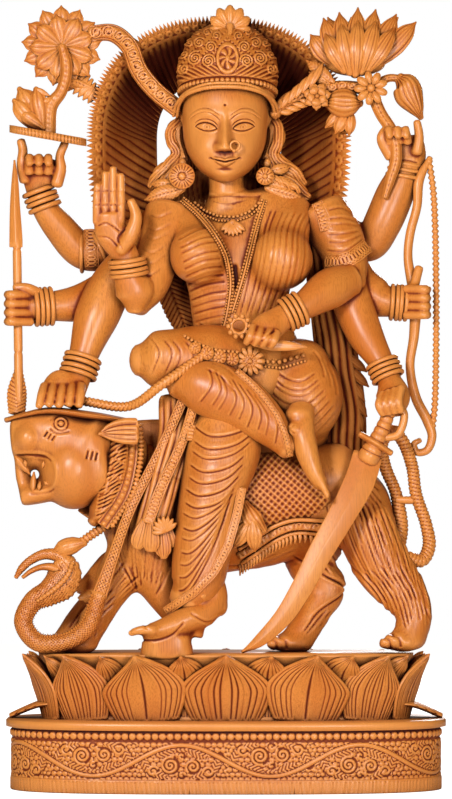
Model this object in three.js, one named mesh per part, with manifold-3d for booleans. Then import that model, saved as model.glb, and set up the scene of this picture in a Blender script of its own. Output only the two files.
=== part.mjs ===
// Durga with eight arms on her lion, carved from one block of wood together with her halo, lotus and plinth.
// Millimetres, +Z up, the front faces -Y, and the origin is the middle of the underside.
import * as THREE from "three";
import { mergeVertices } from "three/addons/utils/BufferGeometryUtils.js";
import Module from "manifold-3d";

const wasm = await Module();
wasm.setup();

// Driving sizes of the base
const plinthWidth = 333;
const plinthDepth = 140;
const plinthHeight = 47.5;
const bandHeight = 10;
const reliefSink = 1.6;
const beadRowHeight = 8;
const rimHeight = 6.5;
const rimOverhang = 3.5;

const lotusHeight = 50.5;
const lotusFootInset = 26;
const lotusTopInset = 20;
const lotusTopDepth = 116;
const petalCount = 12;
const petalBulge = 9;
const petalLean = 12;
const petalThickness = 7;
const petalOverlap = 1.06;
const petalSink = 1.5;

// The figure is a free form, laid out as shares of its own height
const figureHeight = 500;
const rimTop = plinthHeight + rimHeight;
const lotusTop = rimTop + lotusHeight;

// The carver's grid lies over the front view: across, and down from above the crown. The third number is the
// depth in millimetres, less than 0 towards the front. The grid spreads with depth, as seen by an eye.
const grid = { middle: 227, ground: 652, crown: 7 };
const eye = { distance: 2400, aboveLotus: 95 };
const step = figureHeight / (grid.ground - grid.crown);

function at([across, down, depth]) {
  const spread = 1 + depth / eye.distance;
  const height = (grid.ground - down) * step - eye.aboveLotus;
  return new THREE.Vector3(
    (across - grid.middle) * step * spread,
    depth,
    lotusTop + eye.aboveLotus + height * spread,
  );
}

// Closed solids from three.js geometries
function solid(geometry) {
  const bare = geometry.clone();
  bare.deleteAttribute("normal");
  bare.deleteAttribute("uv");
  const merged = mergeVertices(bare, 1e-4);
  return new wasm.Manifold(
    new wasm.Mesh({
      numProp: 3,
      vertProperties: merged.attributes.position.array,
      triVerts: new Uint32Array(merged.index.array),
    }),
  );
}

// Moves every vertex of a geometry by a function of its old place
function reshape(geometry, place) {
  const spots = geometry.attributes.position;
  const spot = new THREE.Vector3();
  for (let i = 0; i < spots.count; i++) {
    spot.fromBufferAttribute(spots, i);
    const moved = place(spot);
    spots.setXYZ(i, moved.x, moved.y, moved.z);
  }
  return geometry;
}

// A cylinder whose rings are carried along a line. Each ring has a centre, an along direction, a half width
// seen from the front and a half depth. relief(turn, share) scales the section, and tip pushes the ends out.
const front = new THREE.Vector3(0, -1, 0);

function skin(rings, sides, { tip = 0, relief = () => 1 } = {}) {
  const last = rings.length - 1;
  const tube = new THREE.CylinderGeometry(1, 1, 1, sides, last, false, Math.PI / 2);
  return reshape(tube, (spot) => {
    const index = Math.round((0.5 - spot.y) * last);
    const ring = rings[index];
    if (Math.hypot(spot.x, spot.z) < 0.5) {
      const reach = tip * Math.min(ring.width, ring.depth) * (index === 0 ? -1 : 1);
      return ring.centre.clone().addScaledVector(ring.along, reach);
    }
    const across = new THREE.Vector3().crossVectors(ring.along, ring.facing ?? front).normalize();
    const towards = new THREE.Vector3().crossVectors(across, ring.along).normalize();
    const scale = relief(Math.atan2(spot.z, spot.x), index / last, index);
    return ring.centre
      .clone()
      .addScaledVector(across, spot.x * ring.width * scale)
      .addScaledVector(towards, -spot.z * ring.depth * scale);
  });
}

// A limb through joints [across, down, depth, half width, half depth] on the carver's grid
function limb(joints, { sides = 8, steps = 2, tip = 0.6, facing, relief } = {}) {
  const curve = new THREE.CatmullRomCurve3(joints.map(at), false, "centripetal");
  const spans = joints.length - 1;
  const rings = Array.from({ length: spans * steps + 1 }, (_, i) => {
    const share = i / (spans * steps);
    const span = Math.min(spans - 1, Math.floor(i / steps));
    const ease = share * spans - span;
    const [from, to] = [joints[span], joints[span + 1]];
    return {
      centre: curve.getPoint(share),
      along: curve.getTangent(share),
      width: THREE.MathUtils.lerp(from[3], to[3], ease) * step,
      depth: THREE.MathUtils.lerp(from[4] ?? from[3], to[4] ?? to[3], ease) * step,
      facing,
    };
  });
  return solid(skin(rings, sides, { tip, relief }));
}

// An egg at [across, down, depth], with half sizes across, deep and high in steps of the grid
function egg(place, [width, depth, height], detail = [14, 9]) {
  const geometry = new THREE.SphereGeometry(1, ...detail);
  geometry.rotateX(Math.PI / 2);
  geometry.scale(width * step, depth * step, height * step);
  const centre = at(place);
  geometry.translate(centre.x, centre.y, centre.z);
  return solid(geometry);
}

const between = (from, to, share) => from.map((value, i) => THREE.MathUtils.lerp(value, to[i], share));

// A pointed leaf from root to tip, widest at a share of its length, its belly pushed towards the front
function leaf(root, tip, width, { thick = 3, belly = 3, widest = 0.5, sides = 4 } = {}) {
  const joint = (share, half, push) => {
    const [across, down, depth] = between(root, tip, share);
    return [across, down, depth - push, half, Math.min(thick, half)];
  };
  const joints = [joint(0, width * 0.45, 0), joint(widest, width, belly), joint(0.96, 1.2, belly * 0.3)];
  return limb(joints, { sides, tip: 2 });
}

// A flower seen from the front: a star with as many points as petals, dished towards its middle
function star([across, down, depth], reach, valley, points, { thick = 5, dish = 2, turn = 0 } = {}) {
  const disc = new THREE.CylinderGeometry(1, 1, 1, points * 2, 1);
  return solid(
    reshape(disc, (spot) => {
      const near = spot.y < 0;
      if (Math.hypot(spot.x, spot.z) < 0.5) return at([across, down, depth + (near ? dish - thick / 2 : thick)]);
      const angle = Math.atan2(spot.z, spot.x);
      const index = Math.round((angle / Math.PI) * points);
      const radius = index % 2 === 0 ? reach : valley;
      const out = angle + THREE.MathUtils.degToRad(turn);
      const lift = index % 2 === 0 ? 0 : thick * 0.3;
      return at([
        across + Math.cos(out) * radius,
        down - Math.sin(out) * radius,
        depth + (near ? lift - thick / 2 : thick / 2),
      ]);
    }),
  );
}

const join = (pieces) => wasm.Manifold.union(pieces.flat(Infinity));

// Joined forms have many small faces where they cross. This folds away the edges whose loss moves the surface
// least, by the squared distance to the planes of the faces round them, until as many faces are left as asked.
function thin(shape, faceCount) {
  const { vertProperties, triVerts } = shape.getMesh();
  const points = [];
  const faces = [];
  for (let i = 0; i < vertProperties.length; i += 3) points.push(new THREE.Vector3().fromArray(vertProperties, i));
  for (let i = 0; i < triVerts.length; i += 3) faces.push([...triVerts.slice(i, i + 3)]);

  const crossOf = ([a, b, c]) => new THREE.Vector3().subVectors(b, a).cross(new THREE.Vector3().subVectors(c, a));
  const planes = points.map(() => new Float64Array(10));
  for (const face of faces) {
    const corners = face.map((i) => points[i]);
    const cross = crossOf(corners);
    const area = cross.length() + 1e-12;
    const { x, y, z } = cross.divideScalar(area);
    const w = -cross.dot(corners[0]);
    const products = [x * x, x * y, x * z, x * w, y * y, y * z, y * w, z * z, z * w, w * w];
    for (const i of face) products.forEach((value, k) => (planes[i][k] += value * area));
  }
  const errorAt = (q, { x, y, z }) =>
    q[0] * x * x + 2 * q[1] * x * y + 2 * q[2] * x * z + 2 * q[3] * x + q[4] * y * y +
    2 * q[5] * y * z + 2 * q[6] * y + q[7] * z * z + 2 * q[8] * z + q[9];

  const sharePerPass = 0.2;
  const steepest = 0.3;
  let left = faces;
  let before = Infinity;
  while (left.length > faceCount && left.length < before) {
    before = left.length;
    const around = points.map(() => []);
    for (const face of left) for (const i of face) around[i].push(face);
    const folds = [];
    for (const face of left) {
      for (let k = 0; k < 3; k++) {
        const [a, b] = [face[k], face[(k + 1) % 3]];
        if (a > b) continue;
        const q = planes[a].map((value, i) => value + planes[b][i]);
        const spots = [points[a], points[b], points[a].clone().lerp(points[b], 0.5)];
        const errors = spots.map((spot) => errorAt(q, spot));
        const least = errors.indexOf(Math.min(...errors));
        folds.push({ a, b, q, spot: spots[least], error: errors[least] + 1e-4 * points[a].distanceTo(points[b]) });
      }
    }
    folds.sort((one, other) => one.error - other.error);
    folds.length = Math.ceil(folds.length * sharePerPass);
    const moved = new Set();
    let count = left.length;
    for (const { a, b, q, spot } of folds) {
      if (count <= faceCount) break;
      if (moved.has(a) || moved.has(b)) continue;
      const near = (i) => new Set(around[i].flat());
      const [nearA, nearB] = [near(a), near(b)];
      const shared = [...nearA].filter((i) => nearB.has(i) && i !== a && i !== b);
      if (shared.length !== 2) continue;
      const kept = [...around[a], ...around[b]].filter((face) => !(face.includes(a) && face.includes(b)));
      const turns = kept.some((face) => {
        const old = crossOf(face.map((i) => points[i]));
        const now = crossOf(face.map((i) => (i === a || i === b ? spot : points[i])));
        return now.length() < 1e-3 || old.dot(now) < steepest * old.length() * now.length();
      });
      if (turns) continue;
      points[a] = spot.clone();
      planes[a] = q;
      for (const face of around[b]) {
        if (face.includes(a)) face.gone = true;
        else face[face.indexOf(b)] = a;
      }
      for (const i of [...nearA, ...nearB]) moved.add(i);
      count -= 2;
    }
    left = left.filter((face) => !face.gone);
  }

  const used = [...new Set(left.flat())];
  const place = new Map(used.map((old, index) => [old, index]));
  const geometry = new THREE.BufferGeometry();
  geometry.setAttribute("position", new THREE.Float32BufferAttribute(used.flatMap((i) => points[i].toArray()), 3));
  geometry.setIndex(left.flat().map((i) => place.get(i)));
  geometry.computeVertexNormals();
  return geometry;
}

// Base: a plinth with a rounded oblong plan, |x / a|^p + |y / b|^p = 1

const planPower = 2.8;
const planSides = 40;
const [plinthX, plinthY] = [plinthWidth / 2, plinthDepth / 2];
const [footX, footY] = [plinthX - lotusFootInset, plinthY - lotusFootInset];
const [topX, topY] = [plinthX - lotusTopInset, lotusTopDepth / 2];

function planPoint(angle, halfWidth, halfDepth) {
  const [c, s] = [Math.cos(angle), Math.sin(angle)];
  const power = 2 / planPower;
  const x = Math.sign(c) * Math.abs(c) ** power * halfWidth;
  const y = Math.sign(s) * Math.abs(s) ** power * halfDepth;
  return [x, y];
}

// A stack of plan outlines at [height, half width, half depth], each grown outwards by relief(turn, level)
function stack(levels, sides, relief = () => 0) {
  const last = levels.length - 1;
  const tube = new THREE.CylinderGeometry(1, 1, 1, sides, last);
  return solid(
    reshape(tube, (spot) => {
      const index = Math.round((spot.y + 0.5) * last);
      const [height, halfWidth, halfDepth] = levels[index];
      if (Math.hypot(spot.x, spot.z) < 0.5) return new THREE.Vector3(0, 0, height);
      const angle = Math.atan2(-spot.z, spot.x);
      const out = relief(angle, index);
      const [x, y] = planPoint(angle, halfWidth + out, halfDepth + out);
      return new THREE.Vector3(x, y, height);
    }),
  );
}

function plinth() {
  const reliefTop = plinthHeight - beadRowHeight;
  return stack(
    [
      [0, plinthX, plinthY],
      [bandHeight, plinthX, plinthY],
      [bandHeight + reliefSink, plinthX - reliefSink, plinthY - reliefSink],
      [reliefTop, plinthX - reliefSink, plinthY - reliefSink],
      [reliefTop + reliefSink, plinthX, plinthY],
      [plinthHeight + 1, plinthX + rimOverhang, plinthY + rimOverhang],
      [rimTop, plinthX + rimOverhang - 1, plinthY + rimOverhang - 1],
    ],
    planSides,
  );
}

// The lotus: a flared core with a ring of large pointed petals, and small ones in the gaps between them
function lotus() {
  const core = stack(
    [
      [rimTop - petalSink, footX, footY],
      [rimTop + lotusHeight * 0.25, footX, footY],
      [rimTop + lotusHeight * 0.7, topX - petalBulge, topY - petalBulge],
      [lotusTop, topX, topY],
    ],
    planSides,
  );
  const wall = (angle, share, out) => {
    const [halfWidth, halfDepth] = [[footX, topX], [footY, topY]].map(([foot, top]) =>
      THREE.MathUtils.lerp(foot, top, share ** 1.6),
    );
    const x = Math.cos(angle);
    const y = Math.sign(Math.sin(angle)) * (1 - Math.abs(x) ** planPower) ** (1 / planPower);
    return new THREE.Vector3(x * (halfWidth + out), y * (halfDepth + out), rimTop + lotusHeight * share);
  };
  const petal = (angle, halfWidth, profile) => {
    const away = 0.06;
    const side = wall(angle + away, 0.5, 0).sub(wall(angle - away, 0.5, 0)).normalize();
    const facing = side.clone().cross(new THREE.Vector3(0, 0, 1));
    const places = profile.map(([share, , out]) => wall(angle, share, out));
    const rings = profile.map(([, wide], i) => ({
      centre: places[i],
      along: places[Math.min(i + 1, places.length - 1)].clone().sub(places[Math.max(i - 1, 0)]).normalize(),
      width: wide * halfWidth,
      depth: Math.min(petalThickness, wide * halfWidth),
      facing,
    }));
    return solid(skin(rings, 10));
  };
  const largeProfile = [[0, 0.45, -4], [0.14, 0.8, 0], [0.36, 1, 2], [0.6, 0.88, 3], [0.8, 0.5, 5], [0.93, 0.18, 9], [0.99, 0.03, petalLean]];
  const smallProfile = [[0.4, 0.9, -5], [0.65, 1, -2], [0.85, 0.6, 2], [0.97, 0.05, 7]];
  const slice = (Math.PI * 2) / petalCount;
  return [
    core,
    Array.from({ length: petalCount }, (_, i) => {
      const angle = (i + 0.001) * slice - Math.PI / 2;
      const room = wall(angle + slice, 0.5, 0).distanceTo(wall(angle - slice, 0.5, 0)) / 4;
      return [petal(angle, room * petalOverlap, largeProfile), petal(angle + slice / 2, room * 0.4, smallProfile)];
    }),
  ];
}

// Low leaves that bridge from the lotus to each end of the plinth, with a gap below them
function endLeaves() {
  const crest = rimTop + 9;
  return [-1, 1].map((side) => {
    const rings = [
      [footX - 6, crest + 2, 24],
      [footX + 8, crest - 1, 20],
      [footX + 19, crest - 5, 14],
      [plinthX, rimTop - 1, 8],
    ].map(([x, z, depth]) => ({
      centre: new THREE.Vector3(side * x, 0, z),
      along: new THREE.Vector3(side, 0, -0.3).normalize(),
      width: 2.6,
      depth,
    }));
    return solid(skin(rings, 6));
  });
}

// Lion

function lion() {
  const body = [
    limb(
      [
        [140, 478, -4, 40, 34],
        [178, 512, 2, 60, 44],
        [232, 512, 8, 62, 46],
        [300, 504, 12, 54, 46],
        [362, 506, 10, 46, 42],
        [388, 530, 6, 28, 34],
      ],
      { sides: 8 },
    ),
    limb(
      [
        [116, 456, -12, 34, 34],
        [138, 496, -4, 44, 44],
        [150, 548, -4, 37, 40],
        [152, 586, -8, 20, 26],
        [150, 602, -10, 6, 12],
      ],
      { sides: 8 },
    ),
  ];
  const legs = [
    [[380, 528, -4, 34, 30], [388, 566, -8, 29, 26], [402, 592, -12, 25, 20], [414, 613, -14, 19, 17], [406, 640, -20, 17, 16]],
    [[418, 596, -12, 12], [430, 620, -12, 5]],
    [[312, 544, 26, 34, 24], [310, 566, 26, 22, 20], [325, 588, 26, 20, 16], [312, 614, 20, 16, 14], [294, 642, 14, 17, 14]],
    [[134, 552, -8, 26, 24], [108, 598, -8, 17, 17], [94, 624, -10, 15, 15], [82, 643, -14, 14, 14]],
    [[134, 556, 22, 22, 20], [104, 592, 24, 15, 16], [78, 620, 22, 12, 14], [64, 643, 16, 12, 14]],
  ].map((joints) => limb(joints));
  const paws = [
    [402, 644, -22, 22],
    [290, 645, 12, 22],
    [78, 645, -16, 20],
    [60, 645, 16, 19],
  ].map(([across, down, depth, size]) => [
    egg([across, down, depth], [size, size * 0.75, 9], [8, 4]),
    [-1, 0, 1].map((toe) => {
      const spread = depth + toe * 9;
      return limb([[across - size * 0.3, down, spread, 6], [across - size, down + 3, spread, 5.5]], { sides: 4 });
    }),
  ]);
  return [body, legs, paws, lionHead(), lionTail()];
}

function lionHead() {
  const middle = -26;
  const skull = join([
    egg([80, 460, middle], [31, 36, 50], [10, 6]),
    egg([92, 446, middle + 2], [34, 36, 34], [8, 5]),
    limb([[66, 436, middle, 28, 30], [24, 438, middle, 23, 20]], { tip: 0.4 }),
    limb([[70, 486, middle, 22, 26], [40, 482, middle, 23, 20], [24, 482, middle, 18, 14]], { tip: 0.3 }),
  ]);
  const mouth = limb([[40, 476, middle - 40, 11, 13], [40, 476, middle + 40, 11, 13]], {
    tip: 0,
    facing: new THREE.Vector3(0, 0, 1),
  });
  const brow = limb([[10, 418, middle, 3, 12], [48, 411, middle, 6, 26], [92, 413, middle, 7, 30], [132, 420, middle + 8, 5, 22]]);
  const ears = [-24, 24].map((side) => leaf([100, 432, middle + side], [134, 420, middle + side], 11, { thick: 5 }));
  const eyes = [-20, 20].map((side) => egg([62, 424, middle + side], [7, 7, 7], [8, 5]));
  const fangs = [-9, 9].map((side) => leaf([36, 462, middle + side], [34, 490, middle + side], 4, { belly: 0, sides: 4 }));
  const lock = (turn, share, index) => (index % 2 ? 1.06 : 0.92);
  const mane = limb([[118, 430, -18, 14, 30], [116, 470, -20, 16, 36], [98, 514, -22, 12, 30]], {
    sides: 8,
    steps: 5,
    relief: lock,
  });
  const collar = limb([[135, 418, -8, 7, 34], [132, 460, -10, 8, 42], [122, 494, -12, 8, 42], [106, 524, -16, 6, 30]]);
  return [skull.subtract(mouth), brow, ears, eyes, fangs, mane, collar];
}

// The tail rises behind the sword's hilt, turns and comes down again to the hock
function lionTail() {
  return [
    limb(
      [
        [402, 526, 8, 9],
        [397, 494, 6, 6],
        [386, 466, 0, 6],
        [383, 444, -8, 6],
        [392, 430, -10, 6],
        [403, 440, -8, 6],
        [413, 466, 0, 6],
        [417, 494, 2, 6],
        [427, 524, 2, 6],
        [430, 546, 0, 6.5],
        [423, 560, -4, 6.5],
        [408, 558, -8, 7],
      ],
      { sides: 5 },
    ),
    limb([[398, 500, 4, 4], [420, 500, 2, 4]], { sides: 4 }),
  ];
}

// Snake, bell and ropes on the lion's chest

function snake() {
  return [
    [
      [192, 392, -46, 5], [166, 446, -38, 5], [134, 508, -44, 5], [115, 554, -38, 6], [101, 594, -36, 8],
      [88, 628, -33, 9], [66, 642, -31, 9], [38, 642, -30, 9], [24, 622, -30, 9], [34, 601, -30, 10],
      [56, 590, -30, 14, 12], [66, 570, -30, 13, 10], [54, 558, -30, 9], [34, 563, -30, 7], [20, 575, -30, 3],
    ],
    [[200, 396, -50, 5], [183, 442, -42, 5], [162, 484, -46, 6], [150, 524, -46, 7], [147, 550, -42, 10, 6]],
    [[160, 500, -48, 5], [165, 530, -46, 9, 6], [165, 556, -44, 5]],
    [[114, 520, -22, 5], [82, 542, -30, 4], [64, 550, -30, 8]],
    [[84, 402, -36, 6], [130, 407, -44, 6], [162, 386, -58, 6], [206, 354, -52, 6]],
  ].map((joints) => limb(joints, { sides: 5 }));
}

// Legs and skirt, with the folds of the cloth as rings

const fold = (turn, share, index) => (index % 2 ? 1.025 : 0.98);

// A row of toes side by side in depth
function toes([across, down, depth], [reach, drop], spacing) {
  return [-2, -1, 0, 1, 2].map((i) => {
    const spread = depth + i * spacing;
    return limb([[across, down, spread, 3.6], [across + reach, down + drop, spread, 3]], { sides: 4 });
  });
}

function legs() {
  const raised = limb([[140, 360, -34, 16, 18], [154, 360, -34, 27, 26], [178, 358, -34, 29, 28], [216, 358, -28, 33, 30], [262, 374, -14, 38, 34]], {
    sides: 12,
    steps: 2,
    relief: fold,
  });
  const crossing = limb(
    [[180, 380, -40, 18, 20], [204, 386, -46, 27, 25], [240, 403, -48, 27, 24], [270, 426, -48, 20, 20], [290, 448, -48, 12, 12]],
    { sides: 8, steps: 2, relief: fold },
  );
  const braid = limb([[244, 374, -56, 5, 5], [258, 392, -62, 5, 5], [276, 418, -60, 5, 5], [289, 452, -54, 5, 5]], { sides: 4 });
  const raisedFoot = [
    limb([[302, 414, -42, 13], [306, 440, -50, 13], [312, 464, -52, 10], [321, 482, -52, 8]]),
    toes([320, 480, -51], [6, 18], 3),
  ];
  const standing = limb(
    [[230, 418, -30, 34, 32], [224, 450, -36, 37, 33], [211, 500, -38, 31, 29], [203, 550, -38, 29, 27], [199, 596, -36, 26, 25]],
    { sides: 10, steps: 3, relief: fold },
  );
  const standingFoot = [
    limb([[213, 590, -34, 15], [214, 606, -36, 15], [196, 621, -44, 13], [168, 629, -50, 11, 13], [148, 632, -52, 8, 12]]),
    toes([152, 631, -52], [-21, 4], 4),
  ];
  const footBlock = limb([[168, 656, -46, 27, 25], [168, 632, -46, 23, 22]], { sides: 8, tip: 0 });
  return [raised, crossing, braid, raisedFoot, standing, standingFoot, footBlock];
}

function skirt() {
  const haunch = [egg([305, 396, -10], [39, 42, 46], [10, 6]), egg([262, 374, -8], [46, 38, 34])];
  const seat = egg([262, 430, 6], [70, 44, 40]);
  const saddle = limb([[196, 494, 6, 50, 48], [250, 494, 8, 56, 52], [300, 488, 10, 50, 52], [344, 476, 8, 36, 46]], { sides: 8 });
  const fringe = limb([[236, 548, -28, 7, 5], [262, 546, -28, 7, 5], [282, 538, -28, 7, 5], [304, 532, -26, 7, 5], [324, 530, -24, 7, 5]], {
    sides: 4,
    steps: 3,
    relief: (turn, share, index) => (index % 2 ? 1.2 : 0.8),
  });
  const knot = limb([[246, 504, -36, 6], [252, 526, -36, 15, 8], [254, 550, -32, 10, 6]], { sides: 5 });
  return [haunch, seat, saddle, fringe, knot];
}

// Trunk, drape, head and crown

function trunk() {
  const chest = limb(
    [
      [226, 176, -6, 20, 19],
      [228, 202, -4, 26, 20],
      [238, 212, -2, 70, 22],
      [242, 238, -6, 66, 30],
      [240, 280, -8, 54, 28],
      [240, 318, -8, 47, 27],
      [250, 362, -6, 52, 34],
    ],
    { sides: 10 },
  );
  const breasts = [
    egg([198, 254, -26], [27, 27, 28], [9, 6]),
    egg([282, 258, -26], [28, 27, 28], [9, 6]),
  ];
  const trims = [
    [[190, 196, -18, 4], [206, 226, -40, 4], [230, 262, -40, 4], [236, 320, -34, 4]],
    [[264, 192, -18, 4], [256, 226, -40, 4], [244, 262, -40, 4], [238, 320, -34, 4]],
    [[198, 192, -14, 5], [212, 210, -30, 5], [232, 220, -34, 7], [250, 208, -30, 5], [256, 190, -14, 5]],
    [[198, 344, -24, 7], [224, 352, -40, 8], [252, 360, -46, 8], [304, 346, -36, 5]],
  ].map((joints) => limb(joints, { sides: 4 }));
  const buckle = star([252, 360, -50], 11, 8, 6, { thick: 6, dish: -2 });
  return [chest, breasts, trims, buckle];
}

function drape() {
  const pleat = (turn) => 1 + 0.14 * Math.cos(turn * 5);
  const lock = (turn, share, index) => (index % 2 ? 1.06 : 0.94);
  return [
    limb([[322, 214, 4, 22, 18], [326, 260, 8, 20, 18], [334, 330, 12, 20, 20], [344, 410, 12, 22, 22], [346, 470, 12, 20, 22]], {
      sides: 10,
      relief: pleat,
    }),
    limb([[222, 176, 24, 52, 14], [216, 240, 30, 54, 12], [220, 290, 28, 40, 10], [222, 345, 24, 28, 8]], {
      sides: 6,
      steps: 4,
      relief: lock,
    }),
  ];
}

function head() {
  const middle = 226;
  const face = [egg([middle, 132, -10], [42, 42, 48], [12, 8]), egg([middle, 154, -18], [31, 34, 28])];
  const nose = limb([[middle, 124, -42, 3], [middle, 147, -49, 7, 6]], { sides: 4 });
  const lips = limb([[middle - 13, 161, -38, 2, 4], [middle, 163, -43, 4, 5], [middle + 13, 161, -38, 2, 4]], { sides: 4 });
  const features = [-1, 1].map((side) => [
    limb([[middle + side * 8, 119, -41, 2.4, 4], [middle + side * 20, 112, -38, 2.4, 4], [middle + side * 33, 120, -29, 2, 4]], { sides: 4 }),
    egg([middle + side * 18, 127, -40], [9, 5, 4], [6, 4]),
    egg([middle + side * 49, 140, 0], [8, 6, 16], [6, 4]),
  ]);
  return [face, nose, lips, features, crown(), hair()];
}

function crown() {
  const tier = (turn, share, index) => (index % 2 ? 1.02 : 0.98);
  const tiers = limb(
    [
      [228, 98, -8, 50, 48],
      [229, 80, -8, 51, 49],
      [230, 62, -8, 48, 46],
      [230, 46, -8, 39, 38],
      [231, 34, -8, 28, 27],
      [231, 24, -8, 16, 16],
    ],
    { sides: 14, steps: 2, tip: 0.3, relief: tier },
  );
  const band = limb([[178, 112, -4, 4], [190, 97, -34, 4], [228, 85, -50, 4], [266, 98, -34, 4], [275, 114, -4, 4]], { sides: 4 });
  const cap = egg([227, 108, 4], [50, 44, 40]);
  const finial = star([231, 21, -20], 16, 9, 7, { thick: 12, turn: 90 });
  return [tiers, band, cap, finial];
}

// Wavy locks beside the neck, with flowers over the ears
function hair() {
  const locks = [
    [[180, 116, 6, 10], [172, 150, 4, 9], [176, 172, 2, 12], [160, 188, 2, 12], [150, 204, 0, 7]],
    [[272, 116, 6, 10], [280, 148, 4, 9], [272, 168, 2, 12], [290, 184, 2, 12], [312, 200, 0, 8]],
    [[227, 104, 24, 44, 20], [226, 160, 26, 46, 16], [222, 206, 26, 56, 12]],
  ].map((joints) => limb(joints, { sides: 5 }));
  const flowers = [
    star([182, 176, -14], 13, 10, 7, { thick: 14, dish: -2 }),
    star([266, 178, -13], 12, 9, 7, { thick: 14, dish: -2 }),
  ];
  const plumes = [leaf([180, 184, -8], [144, 200, -8], 9), leaf([268, 184, -8], [304, 186, -8], 9)];
  return [locks, flowers, plumes];
}

// Halo: a fluted shell behind the head, open in the middle, with a toothed edge
function halo() {
  const arch = { across: 220, down: 140, lowSweep: 30, power: 2.3 };
  const outer = { width: 127, up: 119, low: 180 };
  const inner = { width: 62, up: 60, low: 150 };
  const [edgeDepth, backDepth, wall, tooth] = [0, 44, 5, 4];
  const [flutes, rings] = [46, 2];
  const low = THREE.MathUtils.degToRad(arch.lowSweep);
  const sweep = Math.PI + 2 * low;
  return solid(
    reshape(new THREE.BoxGeometry(1, 1, 1, flutes, rings, 1), (spot) => {
      const index = Math.round((spot.x + 0.5) * flutes);
      const angle = sweep * (index / flutes) - low;
      const share = 0.5 - spot.y;
      const [c, s] = [Math.cos(angle), Math.sin(angle)];
      const square = (Math.abs(c) ** arch.power + Math.abs(s) ** arch.power) ** (-1 / arch.power);
      const radius = (key) => THREE.MathUtils.lerp(outer[key], inner[key], share) * square;
      const edge = share < 0.01 && index % 2 === 1 ? tooth : 0;
      const flute = share > 0.01 && share < 0.99 ? (index % 2 ? 1.4 : -1.4) : 0;
      const depth = THREE.MathUtils.lerp(edgeDepth, backDepth, Math.sin((share * Math.PI) / 2)) + flute;
      const high = s >= 0 ? radius("up") : radius("low");
      return at([arch.across + c * (radius("width") + edge), arch.down - s * (high + edge), depth + spot.z * wall]);
    }),
  );
}

// Arms and hands. Each arm is one limb from shoulder to knuckles, with a raised bangle at the wrist.

const arm = (joints) => limb(joints, { sides: 10, steps: 2, tip: 0.4 });
const finger = (...joints) => limb(joints, { sides: 6, steps: 1 });

// Fingers side by side, from a row of knuckles to a row of tips
function fingers(count, knuckle, tip, spacing, thickness = 4.6) {
  return Array.from({ length: count }, (_, i) => {
    const shift = (i - (count - 1) / 2) * spacing;
    const [from, to] = [knuckle, tip].map(([across, down, depth, slope = 0]) => [across + shift, down + shift * slope, depth]);
    return finger([...from, thickness], [...to, thickness * 0.85]);
  });
}

// Fingers bent round a shaft that stands upright, one above another
function grip([across, down, depth], reach, spacing) {
  return [-1.5, -0.5, 0.5, 1.5].map((i) =>
    finger([across + reach, down + i * spacing, depth, 5], [across - reach * 0.8, down + i * spacing, depth - 6, 5]),
  );
}

// Her right arms, seen on the left
function rightArms() {
  return [
    arm([
      [160, 228, 14, 22], [120, 246, 18, 20], [86, 252, 16, 18], [61, 228, 12, 16], [46, 208, 8, 13],
      [43, 205, 8, 18], [39, 192, 8, 18], [39, 188, 6, 13, 9], [42, 172, 2, 22, 10], [44, 160, 0, 18, 8],
    ]),
    fingers(3, [40, 162, -2], [38, 148, -8], 9),
    finger([60, 174, -2, 5.5], [62, 146, -4, 5]),
    finger([24, 172, 0, 5.5], [23, 142, -4, 4.5]),
    arm([[172, 214, -4, 26, 24], [162, 246, -14, 22, 22], [148, 286, -26, 20, 20], [137, 306, -32, 13, 16]]),
    arm([
      [137, 309, -34, 10, 12], [136, 292, -38, 19, 17], [130, 276, -42, 15, 14], [130, 273, -42, 19, 17],
      [128, 260, -44, 19, 17], [127, 257, -44, 13, 11], [112, 230, -48, 16, 9], [110, 214, -50, 14, 8],
    ]),
    fingers(4, [110, 218, -50], [109, 174, -52, 0.3], 8),
    finger([128, 246, -48, 7], [136, 220, -52, 7], [130, 200, -54, 4.5]),
    arm([
      [150, 250, 4, 20], [112, 288, 4, 21], [84, 302, 0, 19], [55, 306, -6, 15], [52, 306, -6, 20],
      [37, 307, -8, 20], [34, 307, -8, 14], [22, 304, -8, 14, 12],
    ]),
    grip([20, 304, -14], 12, 9),
    arm([
      [152, 244, -2, 22], [114, 284, -8, 22], [98, 316, -14, 22], [85, 354, -20, 15], [84, 358, -20, 19],
      [79, 374, -22, 19], [78, 377, -24, 14, 12], [68, 388, -28, 22, 13], [62, 396, -32, 22, 11],
    ]),
    fingers(5, [66, 390, -30], [63, 404, -46], 9, 5.4),
  ];
}

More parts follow.
